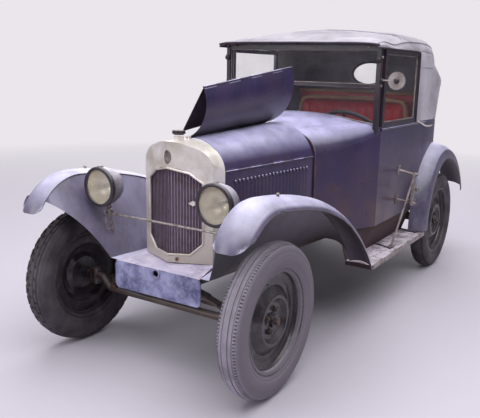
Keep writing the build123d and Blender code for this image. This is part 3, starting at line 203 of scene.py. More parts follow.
def editMode(piece, kind, action):
    makeActive(piece)
    bpy.ops.object.mode_set(mode="EDIT")
    bpy.ops.mesh.select_mode(type=kind)
    bpy.ops.mesh.select_all(action=action)


def nameLast(name):
    piece = bpy.context.object
    piece.name = piece.data.name = name
    return piece


def settle(piece):  # object to the origin, its place into its mesh
    makeActive(piece)
    bpy.ops.object.transform_apply(location=True, rotation=True, scale=True)


def pickFaces(piece, test):  # leaves edit mode with those faces selected
    editMode(piece, "FACE", "DESELECT")
    objectMode()
    for f in piece.data.polygons:
        f.select = bool(test(f))
    bpy.ops.object.mode_set(mode="EDIT")


def raiseFaces(piece, test, amount):  # lifts those faces together, along their normals
    pickFaces(piece, test)
    bpy.ops.mesh.extrude_region_move(TRANSFORM_OT_translate={"value": (0, 0, 0)})
    bpy.ops.transform.shrink_fatten(value=amount)
    objectMode()


def outward(piece):
    editMode(piece, "VERT", "SELECT")
    bpy.ops.mesh.remove_doubles(threshold=0.00002)
    bpy.ops.mesh.normals_make_consistent(inside=False)
    objectMode()


def addModifier(piece, kind, **values):
    m = piece.modifiers.new(kind.lower(), kind)
    for k, v in values.items():
        setattr(m, k, v)
    return m


def applyModifiers(piece):
    makeActive(piece)
    for m in list(piece.modifiers):
        bpy.ops.object.modifier_apply(modifier=m.name)


def spun(name, points, centre, axis, steps):  # one vertex extruded through the points, then spun round
    deselectAll()
    bpy.ops.mesh.primitive_plane_add(size=0.01, location=points[0])
    piece = nameLast(name)
    settle(piece)
    editMode(piece, "VERT", "SELECT")
    bpy.ops.mesh.merge(type="CENTER")
    for a, b in zip(points, points[1:]):
        bpy.ops.mesh.extrude_region_move(TRANSFORM_OT_translate={"value": b - a})
    bpy.ops.mesh.select_all(action="SELECT")
    bpy.ops.mesh.spin(steps=steps, angle=math.tau, center=centre, axis=axis)
    objectMode()
    outward(piece)
    return piece


def turned(profile, centre=(0, 0, 0), axis="Y", steps=48, name="turned", direction=None):
    # a turned piece: profile is (along the axis, radius); with a direction it stands on its centre
    along, out = {"X": ((1, 0, 0), (0, 0, 1)), "Y": ((0, 1, 0), (0, 0, 1)), "Z": ((0, 0, 1), (1, 0, 0))}[axis]
    start = Vector((0, 0, 0) if direction else centre)
    piece = spun(name, [start + Vector(along) * a + Vector(out) * r for a, r in profile], start, along, steps)
    if direction:
        stand(piece, centre, direction)
    return piece


def stand(piece, place, direction, sunk=0.0):  # turns a piece made upwards to face along direction
    turn = Vector(direction).to_track_quat("Z", "Y").to_matrix().to_4x4()
    piece.data.transform(Matrix.Translation(place) @ turn @ Matrix.Translation((0, 0, sunk)))


def tube(points, radius, smooth=True, sides=12, closed=False, name="tube"):
    # a bent rod: a curve through the points, with a round section
    curve = bpy.data.curves.new(name, "CURVE")
    curve.dimensions = "3D"
    curve.bevel_depth = radius
    curve.bevel_resolution = max(1, sides // 4)
    curve.use_fill_caps = not closed
    spline = curve.splines.new("NURBS" if smooth else "POLY")
    spline.points.add(len(points) - 1)
    for p, place in zip(spline.points, points):
        p.co = (*place, 1)
    spline.use_cyclic_u = closed
    if smooth:
        spline.order_u = 3
        spline.use_endpoint_u = not closed
        spline.resolution_u = 8
    makeActive(newObject(name, curve))
    bpy.ops.object.convert(target="MESH")
    outward(bpy.context.object)
    return bpy.context.object


def rods(runs, radius, smooth=False, sides=10):
    return [tube([at(*p) for p in run], radius, smooth, sides) for run in runs]


def slab(low, high, bevel=0.001, segments=2, name="slab"):
    # a block between two corners, its edges broken
    low, high = Vector(low), Vector(high)
    deselectAll()
    bpy.ops.mesh.primitive_cube_add(size=1, location=(low + high) / 2)
    piece = nameLast(name)
    piece.scale = high - low
    settle(piece)
    editMode(piece, "VERT", "SELECT")
    bpy.ops.mesh.bevel(offset=bevel, segments=segments, affect="EDGES")
    objectMode()
    return piece


def hexHead(place, direction, across, height):
    # a domed hexagon head on a washer, pointing along direction
    deselectAll()
    bpy.ops.mesh.primitive_cylinder_add(vertices=6, radius=across / 1.732, depth=height)
    piece = nameLast("head")
    pickFaces(piece, lambda f: f.normal.z > 0.9)
    bpy.ops.mesh.bevel(offset=across * 0.1, segments=2, affect="EDGES")
    bpy.ops.mesh.inset(thickness=across * 0.16, depth=height * 0.12)
    objectMode()
    pickFaces(piece, lambda f: f.normal.z < -0.9)
    bpy.ops.mesh.inset(thickness=-across * 0.22)
    bpy.ops.mesh.extrude_region_move(TRANSFORM_OT_translate={"value": (0, 0, -height * 0.25)})
    objectMode()
    stand(piece, place, direction, height / 2)
    return piece


def button(place, direction, radius, height):  # a turned knob standing on a surface
    profile = ((0, 0), (0, 0.75), (0.35, 0.6), (0.45, 0.95), (0.7, 1.0), (0.9, 0.8), (1.0, 0.4), (1.0, 0))
    return turned([(a * height, r * radius) for a, r in profile], at(*place), "Z", 20, direction=direction)


def copyOf(piece, name, change):
    twin = newObject(name, piece.data.copy())
    twin.data.name = name
    twin.data.transform(change)
    if change.determinant() < 0:
        twin.data.flip_normals()
    return twin


def both(pieces):  # the pieces and their mirrored twins
    return pieces + [copyOf(p, p.name, mirrorX) for p in pieces]


def smoothed(piece, angle=40):
    makeActive(piece)
    bpy.ops.object.shade_smooth_by_angle(angle=math.radians(angle))


def paintWith(piece, material):
    piece.data.materials.clear()
    piece.data.materials.append(material)


def done(piece, finishName, slotName, body="chassis", replaces=(), angle=40):
    settle(piece)
    applyModifiers(piece)
    smoothed(piece, angle)
    paintWith(piece, finish[finishName])
    if replaces:
        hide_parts(*replaces)
    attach(piece, body)
    return piece


def joined(name, pieces):
    deselectAll()
    for p in pieces:
        p.select_set(True)
    bpy.context.view_layer.objects.active = pieces[0]
    if len(pieces) > 1:
        bpy.ops.object.join()
    return nameLast(name)


def fitting(name, pieces, finishName="nickel", slotName="nickel", *more, **rest):
    return done(joined(name, pieces), finishName, slotName, *more, **rest)


# Node groups shared by the finishes
grey = (0.2, 0.2, 0.2, 1)


def newGroup(name, inputs, outputs):
    # the group, its wiring, what comes in and the node that takes what goes out
    group = bpy.data.node_groups.new(name, "ShaderNodeTree")
    for label, value in inputs.items():
        kind = "NodeSocketColor" if value is grey else "NodeSocketFloat"
        group.interface.new_socket(label, in_out="INPUT", socket_type=kind).default_value = value
    for label in outputs:
        kind = "NodeSocketColor" if label == "Color" else "NodeSocketFloat"
        group.interface.new_socket(label, in_out="OUTPUT", socket_type=kind)
    return group, Wiring(group), group.nodes.new("NodeGroupInput").outputs, group.nodes.new("NodeGroupOutput")


def buildWornPaint():
    # old paint: broad fading, runs, small chips down to primer and rust; on what faces up a pale tone that is
    # dust, and on body and fender also a painted sky reflection; painted shade on what faces down
    group, w, start, end = newGroup("wornPaint", {
        "Paint": grey, "Faded": grey, "Under": grey, "DustAndReflection": grey, "Fade": 0.5, "Chips": 0.4, "Edges": 0.5,
        "DustAndReflectionShare": 0.5, "Scale": 1.0, "Runs": 0.38, "Soil": 0.0}, ("Color", "Roughness", "Height"))
    plain, normal = w.place(), w.normal()
    high, up = w.parts(plain)["Z"], w.parts(normal)["Z"]
    place = w.fill(w.add("VectorMath", operation="SCALE"), Vector=plain, Scale=start["Scale"])
    broad, fine = w.noise(place, 2.6, 5), w.noise(place, 38, 6, 0.65)
    runs = w.times(w.math("SUBTRACT", w.noise(w.stretched(place, (13, 13, 1.1)), 1.0, 4), broad), start["Runs"])
    colour = w.mix(w.times(w.ramp(w.plus(broad, runs), 0.4, 0.62), start["Fade"]), start["Paint"],
                   start["Faded"])
    colour = w.mix(w.times(w.ramp(w.noise(place, 9, 5, 0.6), 0.48, 0.7), 0.3), colour, start["Under"])
    colour = w.mix(w.times(w.ramp(w.noise(place, 17, 6, 0.7), 0.46, 0.66), 0.4), colour, start["Faded"])
    soil = w.times(w.ramp(high, 1.05, 0.55), w.ramp(w.noise(place, 4.5, 5), 0.3, 0.62))
    colour = w.mix(w.times(soil, start["Soil"]), colour, start["Under"])
    bent = w.add("VectorMath", operation="DOT_PRODUCT")
    w.row(bent, w.fill(w.add("Bevel", samples=4), Radius=0.004), normal)
    edge = w.ramp(bent.outputs["Value"], 0.995, 0.8)
    edge = w.times(edge, w.times(start["Edges"], w.ramp(fine, 0.4, 0.58)))
    chip = w.times(w.ramp(fine, 0.63, 0.69), w.ramp(w.noise(place, 7, 3), 0.46, 0.62))
    chip = w.math("MAXIMUM", w.times(chip, start["Chips"]), edge, clamp=True)
    colour = w.mix(chip, colour, start["Under"])
    patchy = w.plus(0.45, w.times(w.ramp(w.noise(place, 6, 6, 0.62), 0.3, 0.66), 0.55))
    # faces that look up take a pale tone: real dust, and on body and fender a painted reflection of the sky
    dustAndReflectionMask = w.times(w.times(w.ramp(up, 0.4, 1.0), patchy), start["DustAndReflectionShare"], clamp=True)
    colour = w.mix(dustAndReflectionMask, colour, start["DustAndReflection"])
    # faces that look down are darkened towards near black: painted shade on the undersides
    colour = w.mix(w.ramp(up, -0.1, -0.9), colour, (0.03, 0.016, 0.014, 1))
    rough = w.plus(w.plus(w.times(fine, 0.22), w.times(dustAndReflectionMask, 0.3)), w.times(chip, 0.35))
    height = w.math("SUBTRACT", w.plus(w.noise(place, 5, 2), w.times(fine, 0.05)), w.times(chip, 0.25))
    w.fill(end, Color=colour, Roughness=w.plus(rough, 0.2, clamp=True), Height=height)
    return group


def buildMottle():
    # mixes two colours by noise and gives a height, for rubber, metal and glass
    group, w, start, end = newGroup("mottle", {
        "First": grey, "Second": grey, "Scale": 20.0, "Low": 0.35, "High": 0.65, "Sunk": 0.0, "Flank": 0.0},
        ("Color", "Mask", "Height"))
    place = w.place()
    sunk = w.times(w.ramp(w.parts(place)["Z"], 0.95, 0.5), start["Sunk"])
    flank = w.times(w.ramp(w.math("ABSOLUTE", w.parts(w.normal())["X"]), 0.5, 0.95), start["Flank"])
    mask = w.ramp(w.noise(place, start["Scale"], 6, 0.6), start["Low"], start["High"])
    mask = w.math("MAXIMUM", mask, w.math("MAXIMUM", sunk, flank))
    w.fill(end, Color=w.mix(mask, start["First"], start["Second"]), Mask=mask,
           Height=w.noise(place, w.times(start["Scale"], 6), 4))
    return group


def buildWeave():
    # plain woven cloth from crossing waves, with slubs and sun fading
    group, w, start, end = newGroup("weave", {"Thread": grey, "Faded": grey, "Pitch": 900.0},
                                    ("Color", "Height"))
    place = w.place()
    x, y, z = w.parts(place)
    across = w.math("SINE", w.times(w.plus(x, z), start["Pitch"]))
    along = w.math("SINE", w.times(w.math("SUBTRACT", y, z), start["Pitch"]))
    blotch = w.ramp(w.noise(place, 3.2, 6, 0.6), 0.36, 0.66)
    slub = w.noise(w.stretched(place, (300, 14, 300)), 1.0, 3)
    colour = w.mix(blotch, start["Thread"], start["Faded"])
    colour = w.mix(w.times(w.ramp(slub, 0.45, 0.8), 0.25), colour, start["Faded"])
    w.fill(end, Color=colour, Height=w.plus(w.times(w.times(across, along), 0.5), slub))
    return group


def buildHide():
    # leather grain: small cells and long creases, cracked and rubbed pale
    group, w, start, end = newGroup("hide", {"Leather": grey, "Rubbed": grey, "Wear": 0.5},
                                    ("Color", "Height", "Roughness"))
    place = w.place()
    cells, crease = (w.fill(w.add("TexVoronoi", feature="DISTANCE_TO_EDGE"), Vector=spot, Scale=scale)
                     for spot, scale in ((place, 210), (w.stretched(place, (1, 1, 1.6)), 26)))
    line = w.ramp(crease, 0.0, 0.035)
    rubbed = w.times(w.ramp(w.noise(place, 7, 6, 0.62), 0.44, 0.68), start["Wear"])
    colour = w.mix(rubbed, start["Leather"], start["Rubbed"])
    colour = w.mix(w.times(w.math("SUBTRACT", 1.0, line), 0.35), colour, (0.03, 0.015, 0.012, 1))
    height = w.plus(w.times(w.ramp(cells, 0.0, 0.12), 0.4), w.times(line, 0.8))
    w.fill(end, Color=colour, Height=height, Roughness=w.plus(0.4, w.times(rubbed, 0.3)))
    return group


def buildPlanks():
    # worn boards or fluted matting: fine grain along the car, another colour on the sides
    group, w, start, end = newGroup("planks", {"Light": grey, "Dark": grey, "Side": grey}, ("Color", "Height"))
    place = w.place()
    fibre = w.noise(w.stretched(place, (90, 5, 90)), 1.0, 6, 0.6)
    spots = w.ramp(w.noise(place, 12, 6, 0.65), 0.42, 0.66)
    colour = w.mix(w.ramp(w.times(w.plus(fibre, spots), 0.5), 0.28, 0.62), start["Light"], start["Dark"])
    colour = w.mix(w.ramp(w.parts(w.normal())["Z"], 0.7, 0.3), colour, start["Side"])
    w.fill(end, Color=colour, Height=fibre)
    return group


groups = {"paint": buildWornPaint(), "mottle": buildMottle(), "weave": buildWeave(), "hide": buildHide(),
          "planks": buildPlanks()}


def newSurface(name, groupName):
    material = bpy.data.materials.new(name)
    material.use_nodes = True
    w = Wiring(material.node_tree)
    return material, w, w.tree.nodes["Principled BSDF"], w.add("Group", node_tree=groups[groupName])


def newFinish(name, groupName, values, bump=0.2, distance=0.002, roughness=None, **shader):
    # one Principled surface fed by a shared group, whose inputs take the values in their order
    material, w, surface, part = newSurface(name, groupName)
    w.row(part, *(tone(*v) if isinstance(v, tuple) else v for v in values))
    rough = part.outputs["Roughness"] if roughness is None else roughness
    w.fill(surface, Base_Color=part.outputs["Color"], Roughness=rough, **shader)
    if bump:
        raised = w.fill(w.add("Bump"), Strength=bump, Distance=distance, Height=part.outputs["Height"])
        w.link(raised, surface.inputs["Normal"])
    return material


def newGlass(name, colour, dirt, film):
    # clear pane: the dusty share shows as a thin grey film
    material, w, surface, part = newSurface(name, "mottle")
    w.fill(part, Scale=5, Low=0.3, High=0.8)
    clear = w.plus(w.times(part.outputs["Mask"], dirt), film)
    w.fill(surface, Base_Color=tone(*colour), Roughness=0.03, IOR=1.45, Alpha=clear)
    material.surface_render_method = "BLENDED"
    return material


def coat(weight, roughness):
    return {"Coat_Weight": weight, "Coat_Roughness": roughness}


rustTone, dustTone = (104, 72, 58), (176, 170, 184)
# paint takes Paint, Faded, Under, the up-facing tone (dust, and on body and fender a painted sky reflection),
# Fade, Chips, Edges, its share, Scale, Runs, Soil;
# mottle takes First, Second, Scale, Low, High, Sunk, Flank; then bump and its depth
finish = {
    # the body's pale up-facing tone (208, 204, 246) is painted sky reflection as well as dust
    "body": newFinish("bodyPaint", "paint",
                      ((37, 29, 66), (60, 48, 88), (84, 58, 62), (208, 204, 246), 0.75, 0.35, 0.5, 0.95, 1,
                       0.38, 0.75), 0.12, 0.006, **coat(0.3, 0.25)),
    "panel": newFinish("panelPaint", "paint",
                       ((42, 34, 70), (66, 54, 90), (98, 76, 86), dustTone, 0.8, 0.6, 0.7, 0.4, 1, 0.38, 0.4),
                       0.12, 0.006, **coat(0.3, 0.2)),
    # the fender's pale up-facing tone (214, 210, 240) is painted sky reflection as well as dust
    "fender": newFinish("fenderPaint", "paint",
                        ((76, 70, 92), (122, 116, 142), (96, 78, 80), (214, 210, 240), 0.8, 0.6, 0.7, 1.0), 0.3,
                        0.01, **coat(0.3, 0.3)),
    "plate": newFinish("platePaint", "paint",
                       ((80, 82, 126), (172, 172, 212), (92, 80, 92), (214, 202, 222), 0.9, 0.9, 0.9, 0.95, 3.4,
                        0.0), 0.9, 0.02),
    "black": newFinish("blackPaint", "paint",
                       ((38, 34, 44), (64, 56, 72), rustTone, dustTone, 0.5, 0.6, 0.8, 0.35), 0.1, 0.003),
    "lamp": newFinish("lampPaint", "paint",
                      ((92, 86, 100), (150, 144, 156), (96, 80, 76), (214, 208, 222), 0.8, 0.8, 0.8, 0.9, 3.0),
                      0.2, 0.002),
    "frame": newFinish("framePaint", "paint",
                       ((50, 42, 44), (96, 76, 66), rustTone, dustTone, 0.9, 0.9, 0.8, 0.3), 0.2, 0.003),
    "wheel": newFinish("wheelPaint", "paint",
                       ((28, 21, 30), (38, 30, 38), (124, 112, 116), dustTone, 0.8, 1.0, 1.0, 0.12, 2.4, 0.0),
                       0.15, 0.003, **coat(0.25, 0.25)),
    "nickelDull": newFinish("shellNickel", "mottle", ((244, 236, 234), (168, 158, 134), 5, 0.46, 0.8, 0.7),
                            0.03, roughness=0.32, Metallic=0.3),
    "nickel": newFinish("nickelTrim", "mottle", ((178, 168, 166), (112, 100, 96), 40), 0.05, roughness=0.36,
                        Metallic=0.8),
    "core": newFinish("coreMetal", "mottle", ((136, 120, 138), (112, 94, 98), 24, 0.45, 0.75), 0.1,
                      roughness=0.55, Metallic=0.35),
    "iron": newFinish("engineIron", "mottle", ((84, 80, 80), (54, 46, 44), 14), 0.35, roughness=0.6,
                      Metallic=0.4),
    "rust": newFinish("rustyIron", "mottle", ((96, 62, 46), (128, 90, 66), 30), 0.5, roughness=0.85),
    "rubber": newFinish("tyreRubber", "mottle", ((54, 49, 55), (86, 79, 86), 8), 0.12, roughness=0.82),
    "wornRubber": newFinish("wornRubber", "mottle", ((158, 150, 164), (88, 80, 88), 7, 0.42, 0.8, 0, 0.75), 0.2,
                            roughness=0.7),
    "blackRubber": newFinish("blackRubber", "mottle", ((40, 38, 40), (62, 58, 60), 30), 0.2, roughness=0.7),
    "brass": newFinish("wornBrass", "mottle", ((132, 108, 92), (84, 62, 58), 20), 0.1, roughness=0.5,
                       Metallic=0.3),
    "strip": newFinish("paleStrip", "mottle", ((170, 160, 160), (122, 110, 108), 18), 0.05, roughness=0.5,
                       Metallic=0.4),
    "cap": newFinish("capMetal", "mottle", ((112, 100, 104), (66, 56, 62), 60), 0.1, roughness=0.4,
                     Metallic=0.7),
    "wheelNuts": newFinish("wheelNuts", "mottle", ((84, 72, 76), (120, 100, 92), 50), 0.2, roughness=0.5,
                           Metallic=0.5),
    "mirror": newFinish("mirrorGlass", "mottle", ((214, 214, 220), (196, 194, 198), 12), 0, roughness=0.06,
                        Metallic=1.0),
    "reflector": newFinish("lampReflector", "mottle", ((248, 242, 226), (226, 214, 188), 14), 0.02,
                           roughness=0.3, Metallic=0.5),
    # Thread, Faded, Pitch
    "cloth": newFinish("hoodCloth", "weave", ((122, 115, 128), (178, 172, 184), 1500), 0.25, 0.0012, 0.9,
                       Sheen_Weight=0.25, Sheen_Roughness=0.5),
    "binding": newFinish("hoodBinding", "weave", ((44, 40, 50), (76, 70, 82), 2200), 0.3, 0.001, 0.85),
    # Leather, Rubbed, Wear
    "leather": newFinish("seatLeather", "hide", ((204, 32, 52), (190, 84, 76), 0.4), 0.35, 0.0015),
    "tan": newFinish("tanLeather", "hide", ((176, 132, 96), (206, 176, 150), 0.6), 0.35, 0.0015),
    # Light, Dark, Side
    "board": newFinish("boardTread", "planks", ((216, 206, 220), (156, 144, 154), (72, 52, 56)), 0.4, 0.0015,
                       0.7),
    "wood": newFinish("dashWood", "planks", ((132, 92, 64), (70, 44, 30), (104, 70, 50)), 0.2, 0.0008, 0.45,
                      Coat_Weight=0.3),
    "floorWood": newFinish("floorWood", "planks", ((110, 92, 78), (54, 42, 36), (60, 46, 38)), 0.3, 0.001, 0.8),
    "glass": newGlass("paneGlass", (150, 150, 156), 0.06, 0.03),
    "lens": newGlass("lensGlass", (214, 208, 204), 0.3, 0.08),
}
print("finishes made:", len(finish))

# Finishes of the CAD nodes that stay
nodeFinish = {
    "body": "scuttle body_tub bonnet_top_left bonnet_top_right",
    "panel": "bonnet_side_left bonnet_side_right door_right bonnet_sills",
    "fender": "front_fender_left front_fender_right rear_fender_left rear_fender_right",
    "plate": "front_apron",
    "black": "windscreen_frame side_window_left steering_column bonnet_hinge_rod steering_wheel",
    "lamp": "headlamp_left headlamp_right",
    "frame": "chassis_frame front_axle rear_axle knuckle_left knuckle_right tie_rod front_spring rear_springs",
    "wheel": "wheel_front_left wheel_front_right wheel_rear_left wheel_rear_right",
    "nickelDull": "radiator_shell",
    "nickel": "lamp_bar",
    "strip": "mirror spare_carrier",
    "core": "radiator_core",
    "iron": "engine",
    "rust": "exhaust",
    "board": "running_boards",
    "wood": "dashboard",
    "floorWood": "floor",
    "glass": "glazing door_glass",
    "lens": "lamp_lenses",
}
for finishName, members in nodeFinish.items():
    for member in members.split():
        paintWith(nodes[member], finish[finishName])
        smoothed(nodes[member], 32)
print("CAD nodes finished")

# Tyres. side: (in from the wall, out from the rim's edge); tread: (from the middle, below the crown)
tyreLook = {"steps": 288, "half": 0.058, "crown": 0.355, "rim": 0.242,
            "side": ((0.02, -0.0195), (0.012, 0.001), (0.0095, 0.008), (0.0055, 0.016), (0.0055, 0.02),
                     (0.003, 0.023), (0.0006, 0.04), (0.0002, 0.055), (0.001, 0.068), (0.0025, 0.071),
                     (0.0015, 0.076), (0.0045, 0.085), (0.008, 0.093)),
            "tread": ((0.046, 0.0145), (0.0405, 0.011), (0.036, 0.0088), (0.034, 0.0125), (0.031, 0.0115),
                      (0.029, 0.0058), (0.0175, 0.0025), (0.0155, 0.005), (0.0135, 0.0045), (0.0115, 0.0008),
                      (0, 0.0002)),
            "corners": {"front_left": ("worn", 1, 0.0), "rear_left": ("worn", 1, 2.4),
                        "front_right": ("block", -1, 0.0), "rear_right": ("block", -1, 2.4)}}


def makeTyre(kind, look):  # rubbed smooth or with a deep tread
    half, crown, rim, steps = (look[k] for k in ("half", "crown", "rim", "steps"))
    rubbed = 0.002 if kind == "worn" else 0
    outline = [(half - a, rim + b) for a, b in look["side"]]
    outline += [(x, crown - drop + (rubbed if 0.03 < x < 0.035 else 0)) for x, drop in look["tread"]]
    points = [Vector((x, 0, r)) for x, r in outline + [(-x, r) for x, r in reversed(outline[:-1])]]
    piece = spun("tyre" + kind, points + points[:1], (0, 0, 0), (1, 0, 0), steps)

    def band(low, high, sectors, every, below=1.0):  # faces in a band of the tread, by their sector
        return lambda f: (low < abs(f.center.x) < high and crown - math.hypot(f.center.y, f.center.z) < below
                          and int((math.atan2(f.center.y, f.center.z) / math.tau % 1) * steps) % every
                          in sectors)

    if kind == "worn":  # short notches at each shoulder
        pickFaces(piece, band(0.036, 0.0475, (0,), 2, 0.0155))
        bpy.ops.mesh.extrude_faces_move(MESH_OT_extrude_faces_indiv={},
                                        TRANSFORM_OT_shrink_fatten={"value": -0.0045})
        objectMode()
    else:  # lugs down the shoulder, and cross grooves that break the ribs into blocks
        raiseFaces(piece, band(0.036, 0.0475, range(2, 8), 8, 0.0165), 0.0028)
        raiseFaces(piece, band(-1, 0.011, (0, 1), 8), -0.004)
        raiseFaces(piece, band(0.018, 0.029, (4, 5), 8), -0.004)
    outward(piece)
    return piece


def wheelPlace(side, y):
    return Matrix.Translation((side * trackHalf, st(y), axleZ))


tyreModels = {kind: makeTyre(kind, tyreLook) for kind in ("worn", "block")}
for corner, (kind, side, y) in tyreLook["corners"].items():
    turn = Matrix.Rotation(math.radians(7 + 11 * y), 4, "X")
    done(copyOf(tyreModels[kind], "tyre." + corner, wheelPlace(side, y) @ turn),
         "wornRubber" if corner == "front_left" else "rubber", "tyre_rubber", "wheel_" + corner,
         ["tyre_" + corner], 35)
for tyreModel in tyreModels.values():
    bpy.data.objects.remove(tyreModel)
print("tyres made")

# Hood: one stretched sheet over its bows. roof: its middle line; the drops: how far it falls away at x
hoodLook = {"frontY": 1.182, "halfWidth": 0.549, "waistZ": 1.1175, "windowTop": 1.5745, "windowRear": 1.9262,
            "cloth": 0.003, "sag": 0.009, "across": 96, "along": 150, "side": 10,
            "bows": (1.182, 1.546, 1.906, 2.159, 2.36), "ovalZ": 1.425, "oval": (0.14, 0.086),
            "roof": ((1.182, 1.605), (1.32, 1.655), (1.6, 1.703), (1.82, 1.7165), (2.0, 1.719), (2.12, 1.7135),
                     (2.21, 1.701), (2.31, 1.667), (2.385, 1.622), (2.427, 1.582), (2.4445, 1.54),
                     (2.438, 1.49), (2.419, 1.44), (2.342, 1.1175)),
            "roofDrop": ((0, 0), (0.15, 0.004), (0.3, 0.016), (0.42, 0.031), (0.475, 0.047), (0.512, 0.069),
                         (0.537, 0.097), (0.549, 0.131)),
            "backDrop": ((0, 0), (0.3, 0.003), (0.36, 0.012), (0.43, 0.042), (0.48, 0.085), (0.52, 0.15),
                         (0.54, 0.22), (0.549, 0.31))}


def alongRoof(look, t):  # point and outward direction of the middle line at share t of its length
    points = [Vector((0, y, z)) for y, z in look["roof"]]
    lengths = [0]
    for a, b in zip(points, points[1:]):
        lengths.append(lengths[-1] + (b - a).length)
    goal = t * lengths[-1]
    i = max(k for k in range(len(points) - 1) if lengths[k] <= goal + 1e-9)
    s = (goal - lengths[i]) / (lengths[i + 1] - lengths[i])
    before, a, b, after = (points[min(max(k, 0), len(points) - 1)] for k in range(i - 1, i + 3))
    place = 0.5 * ((2 * a) + (b - before) * s + (2 * before - 5 * a + 4 * b - after) * s * s
                   + (3 * a - before - 3 * b + after) * s ** 3)
    run = (b - before) * (1 - s) + (after - a) * s
    out = Vector((0, -run.z, run.y)).normalized()
    return place, out * -1 if run.y < 0 else out


def crossDrop(x, table):
    for (x0, d0), (x1, d1) in zip(table, table[1:]):
        if x <= x1:
            s = (x - x0) / (x1 - x0)
            return d0 + (d1 - d0) * (s * s * (3 - 2 * s) * 0.35 + s * 0.65)
    return table[-1][1]


def hoodPoint(look, x, t):
    place, out = alongRoof(look, t)
    back = max(0.0, min(1.0, (out.y - 0.15) / 0.75))
    back = back * back * (3 - 2 * back)
    front = max(0.0, 1 - (place.y - look["frontY"]) / 0.3)
    drop = crossDrop(abs(x), look["roofDrop"]) * (1 - 0.9 * front) * (1 - back)
    drop += crossDrop(abs(x), look["backDrop"]) * back
    inward = -out
    if abs(x) > 0.3:  # the sides fall straight down or straight forward, not along the slope
        straight = Vector((0, -back, -(1 - back))).normalized()
        inward = inward.lerp(straight, min(1, (abs(x) - 0.3) / 0.15)).normalized()
    for a, b in zip(look["bows"], look["bows"][1:]):
        if a < place.y < b and out.z > 0.2:
            drop += (look["sag"] * math.sin(math.pi * (place.y - a) / (b - a)) ** 2
                     * max(0, 1 - (abs(x) / 0.5) ** 4))
    ripple = noise.noise(Vector((x * 5, place.y * 9, place.z * 9))) * 0.0022
    ripple += math.sin(place.y * 60 + x * 9) * 0.0007 * min(1, abs(x) * 2)
    spot = at(x, place.y, place.z) + Vector((0, inward.y, inward.z)) * drop - out * (0.0042 + ripple)
    spot.z = max(spot.z, look["windowTop"] + 0.003 if place.y < look["windowRear"] else look["waistZ"])
    return spot


def makeHood(look):
    half, side, across, along = (look[k] for k in ("halfWidth", "side", "across", "along"))
    deselectAll()
    bpy.ops.mesh.primitive_grid_add(x_subdivisions=across + 2 * side, y_subdivisions=along, size=1)
    hood = nameLast("hoodSheet")
    corner = Vector((half, st(look["windowRear"]), look["windowTop"]))
    for k, vertex in enumerate(hood.data.vertices):
        row, column = divmod(k, across + 2 * side + 1)
        x = 2 * min(max(column - side, 0), across) / across - 1
        x = half * math.sin(math.pi / 2 * x) * 0.25 + half * x * 0.75
        spot = hoodPoint(look, x, row / along)
        share = max(side - column, column - side - across) / side
        if share > 0:  # the side piece, from the roof's edge to the window opening
            ahead = spot.y < corner.y
            low = Vector((spot.y, look["windowTop"]) if ahead else (corner.y, min(look["windowTop"], spot.z)))
            bow = 0 if ahead else math.sin(math.pi * share) * 0.003
            spot = Vector((math.copysign(half - bow, x), *(a + (b - a) * share for a, b in zip(spot.yz, low))))
        vertex.co = spot
    outward(hood)
    pickFaces(hood, lambda f: f.center.y > st(2.25)
              and (f.center.x / look["oval"][0]) ** 2
              + ((f.center.z - look["ovalZ"]) / look["oval"][1]) ** 2 < 1)
    bpy.ops.mesh.delete(type="FACE")
    objectMode()
    addModifier(hood, "SOLIDIFY", thickness=look["cloth"], offset=-1)
    done(hood, "cloth", "hood_cloth", replaces=["hood"], angle=60)


makeHood(hoodLook)


def roofRow(look, t, low=-1.0, high=1.0, count=40, lift=0.0):
    # points across the sheet at one share of its length
    return [hoodPoint(look, look["halfWidth"] * (low + (high - low) * i / count), t)
            + alongRoof(look, t)[1] * lift for i in range(count + 1)]


def makeHoodTrim(look):
    half, top = look["halfWidth"], look["windowTop"] - 0.001
    edge = ((look["frontY"] + 0.004, top), (1.5, top), (1.9, top), (1.926, top - 0.011), (1.9265, 1.45),
            (1.9265, 1.25), (1.9265, 1.119))
    pieces = rods([[(sign * half, y, z) for y, z in edge] for sign in (1, -1)], 0.0052, True, 12)
    pieces.append(tube([p + Vector((0, -0.001, -0.001)) for p in roofRow(look, 0.0)], 0.006))
    ring = []
    for a in (k * math.tau / 24 for k in range(24)):  # the oval lies on the slope of the back
        z = look["ovalZ"] + look["oval"][1] * math.sin(a)
        ring.append(at(look["oval"][0] * math.cos(a), 2.3385 + (z - 1.1175) * 0.2387, z))
    pieces.append(tube(ring, 0.0085, closed=True))
    fitting("hoodBinding", pieces, "binding", "hood_cloth", angle=60)
    seams = [tube(roofRow(look, t, lift=0.003), radius, sides=8)
             for t, radius in ((0.27, 0.0028), (0.3, 0.0028), (0.565, 0.0035))]
    for sign in (1, -1):
        line = [hoodPoint(look, sign * half * 0.955, t / 40) + Vector((sign * 0.002, 0, 0.002))
                for t in range(1, 25)]
        seams.append(tube(line, 0.003, sides=8))
    fitting("hoodSeams", seams, "cloth", "hood_cloth", angle=60)


makeHoodTrim(hoodLook)
print("hood made")

# Seat: sprung bench and back, red hide with a tan roll
seatLook = {"half": 0.462, "frontY": 1.706, "backY": 2.044, "low": 0.6, "top": 0.792, "backTop": 1.232,
            "backDepth": 0.12, "channels": 14, "voxel": 0.006, "pressure": 4.0, "cap": 0.014, "frames": 20}


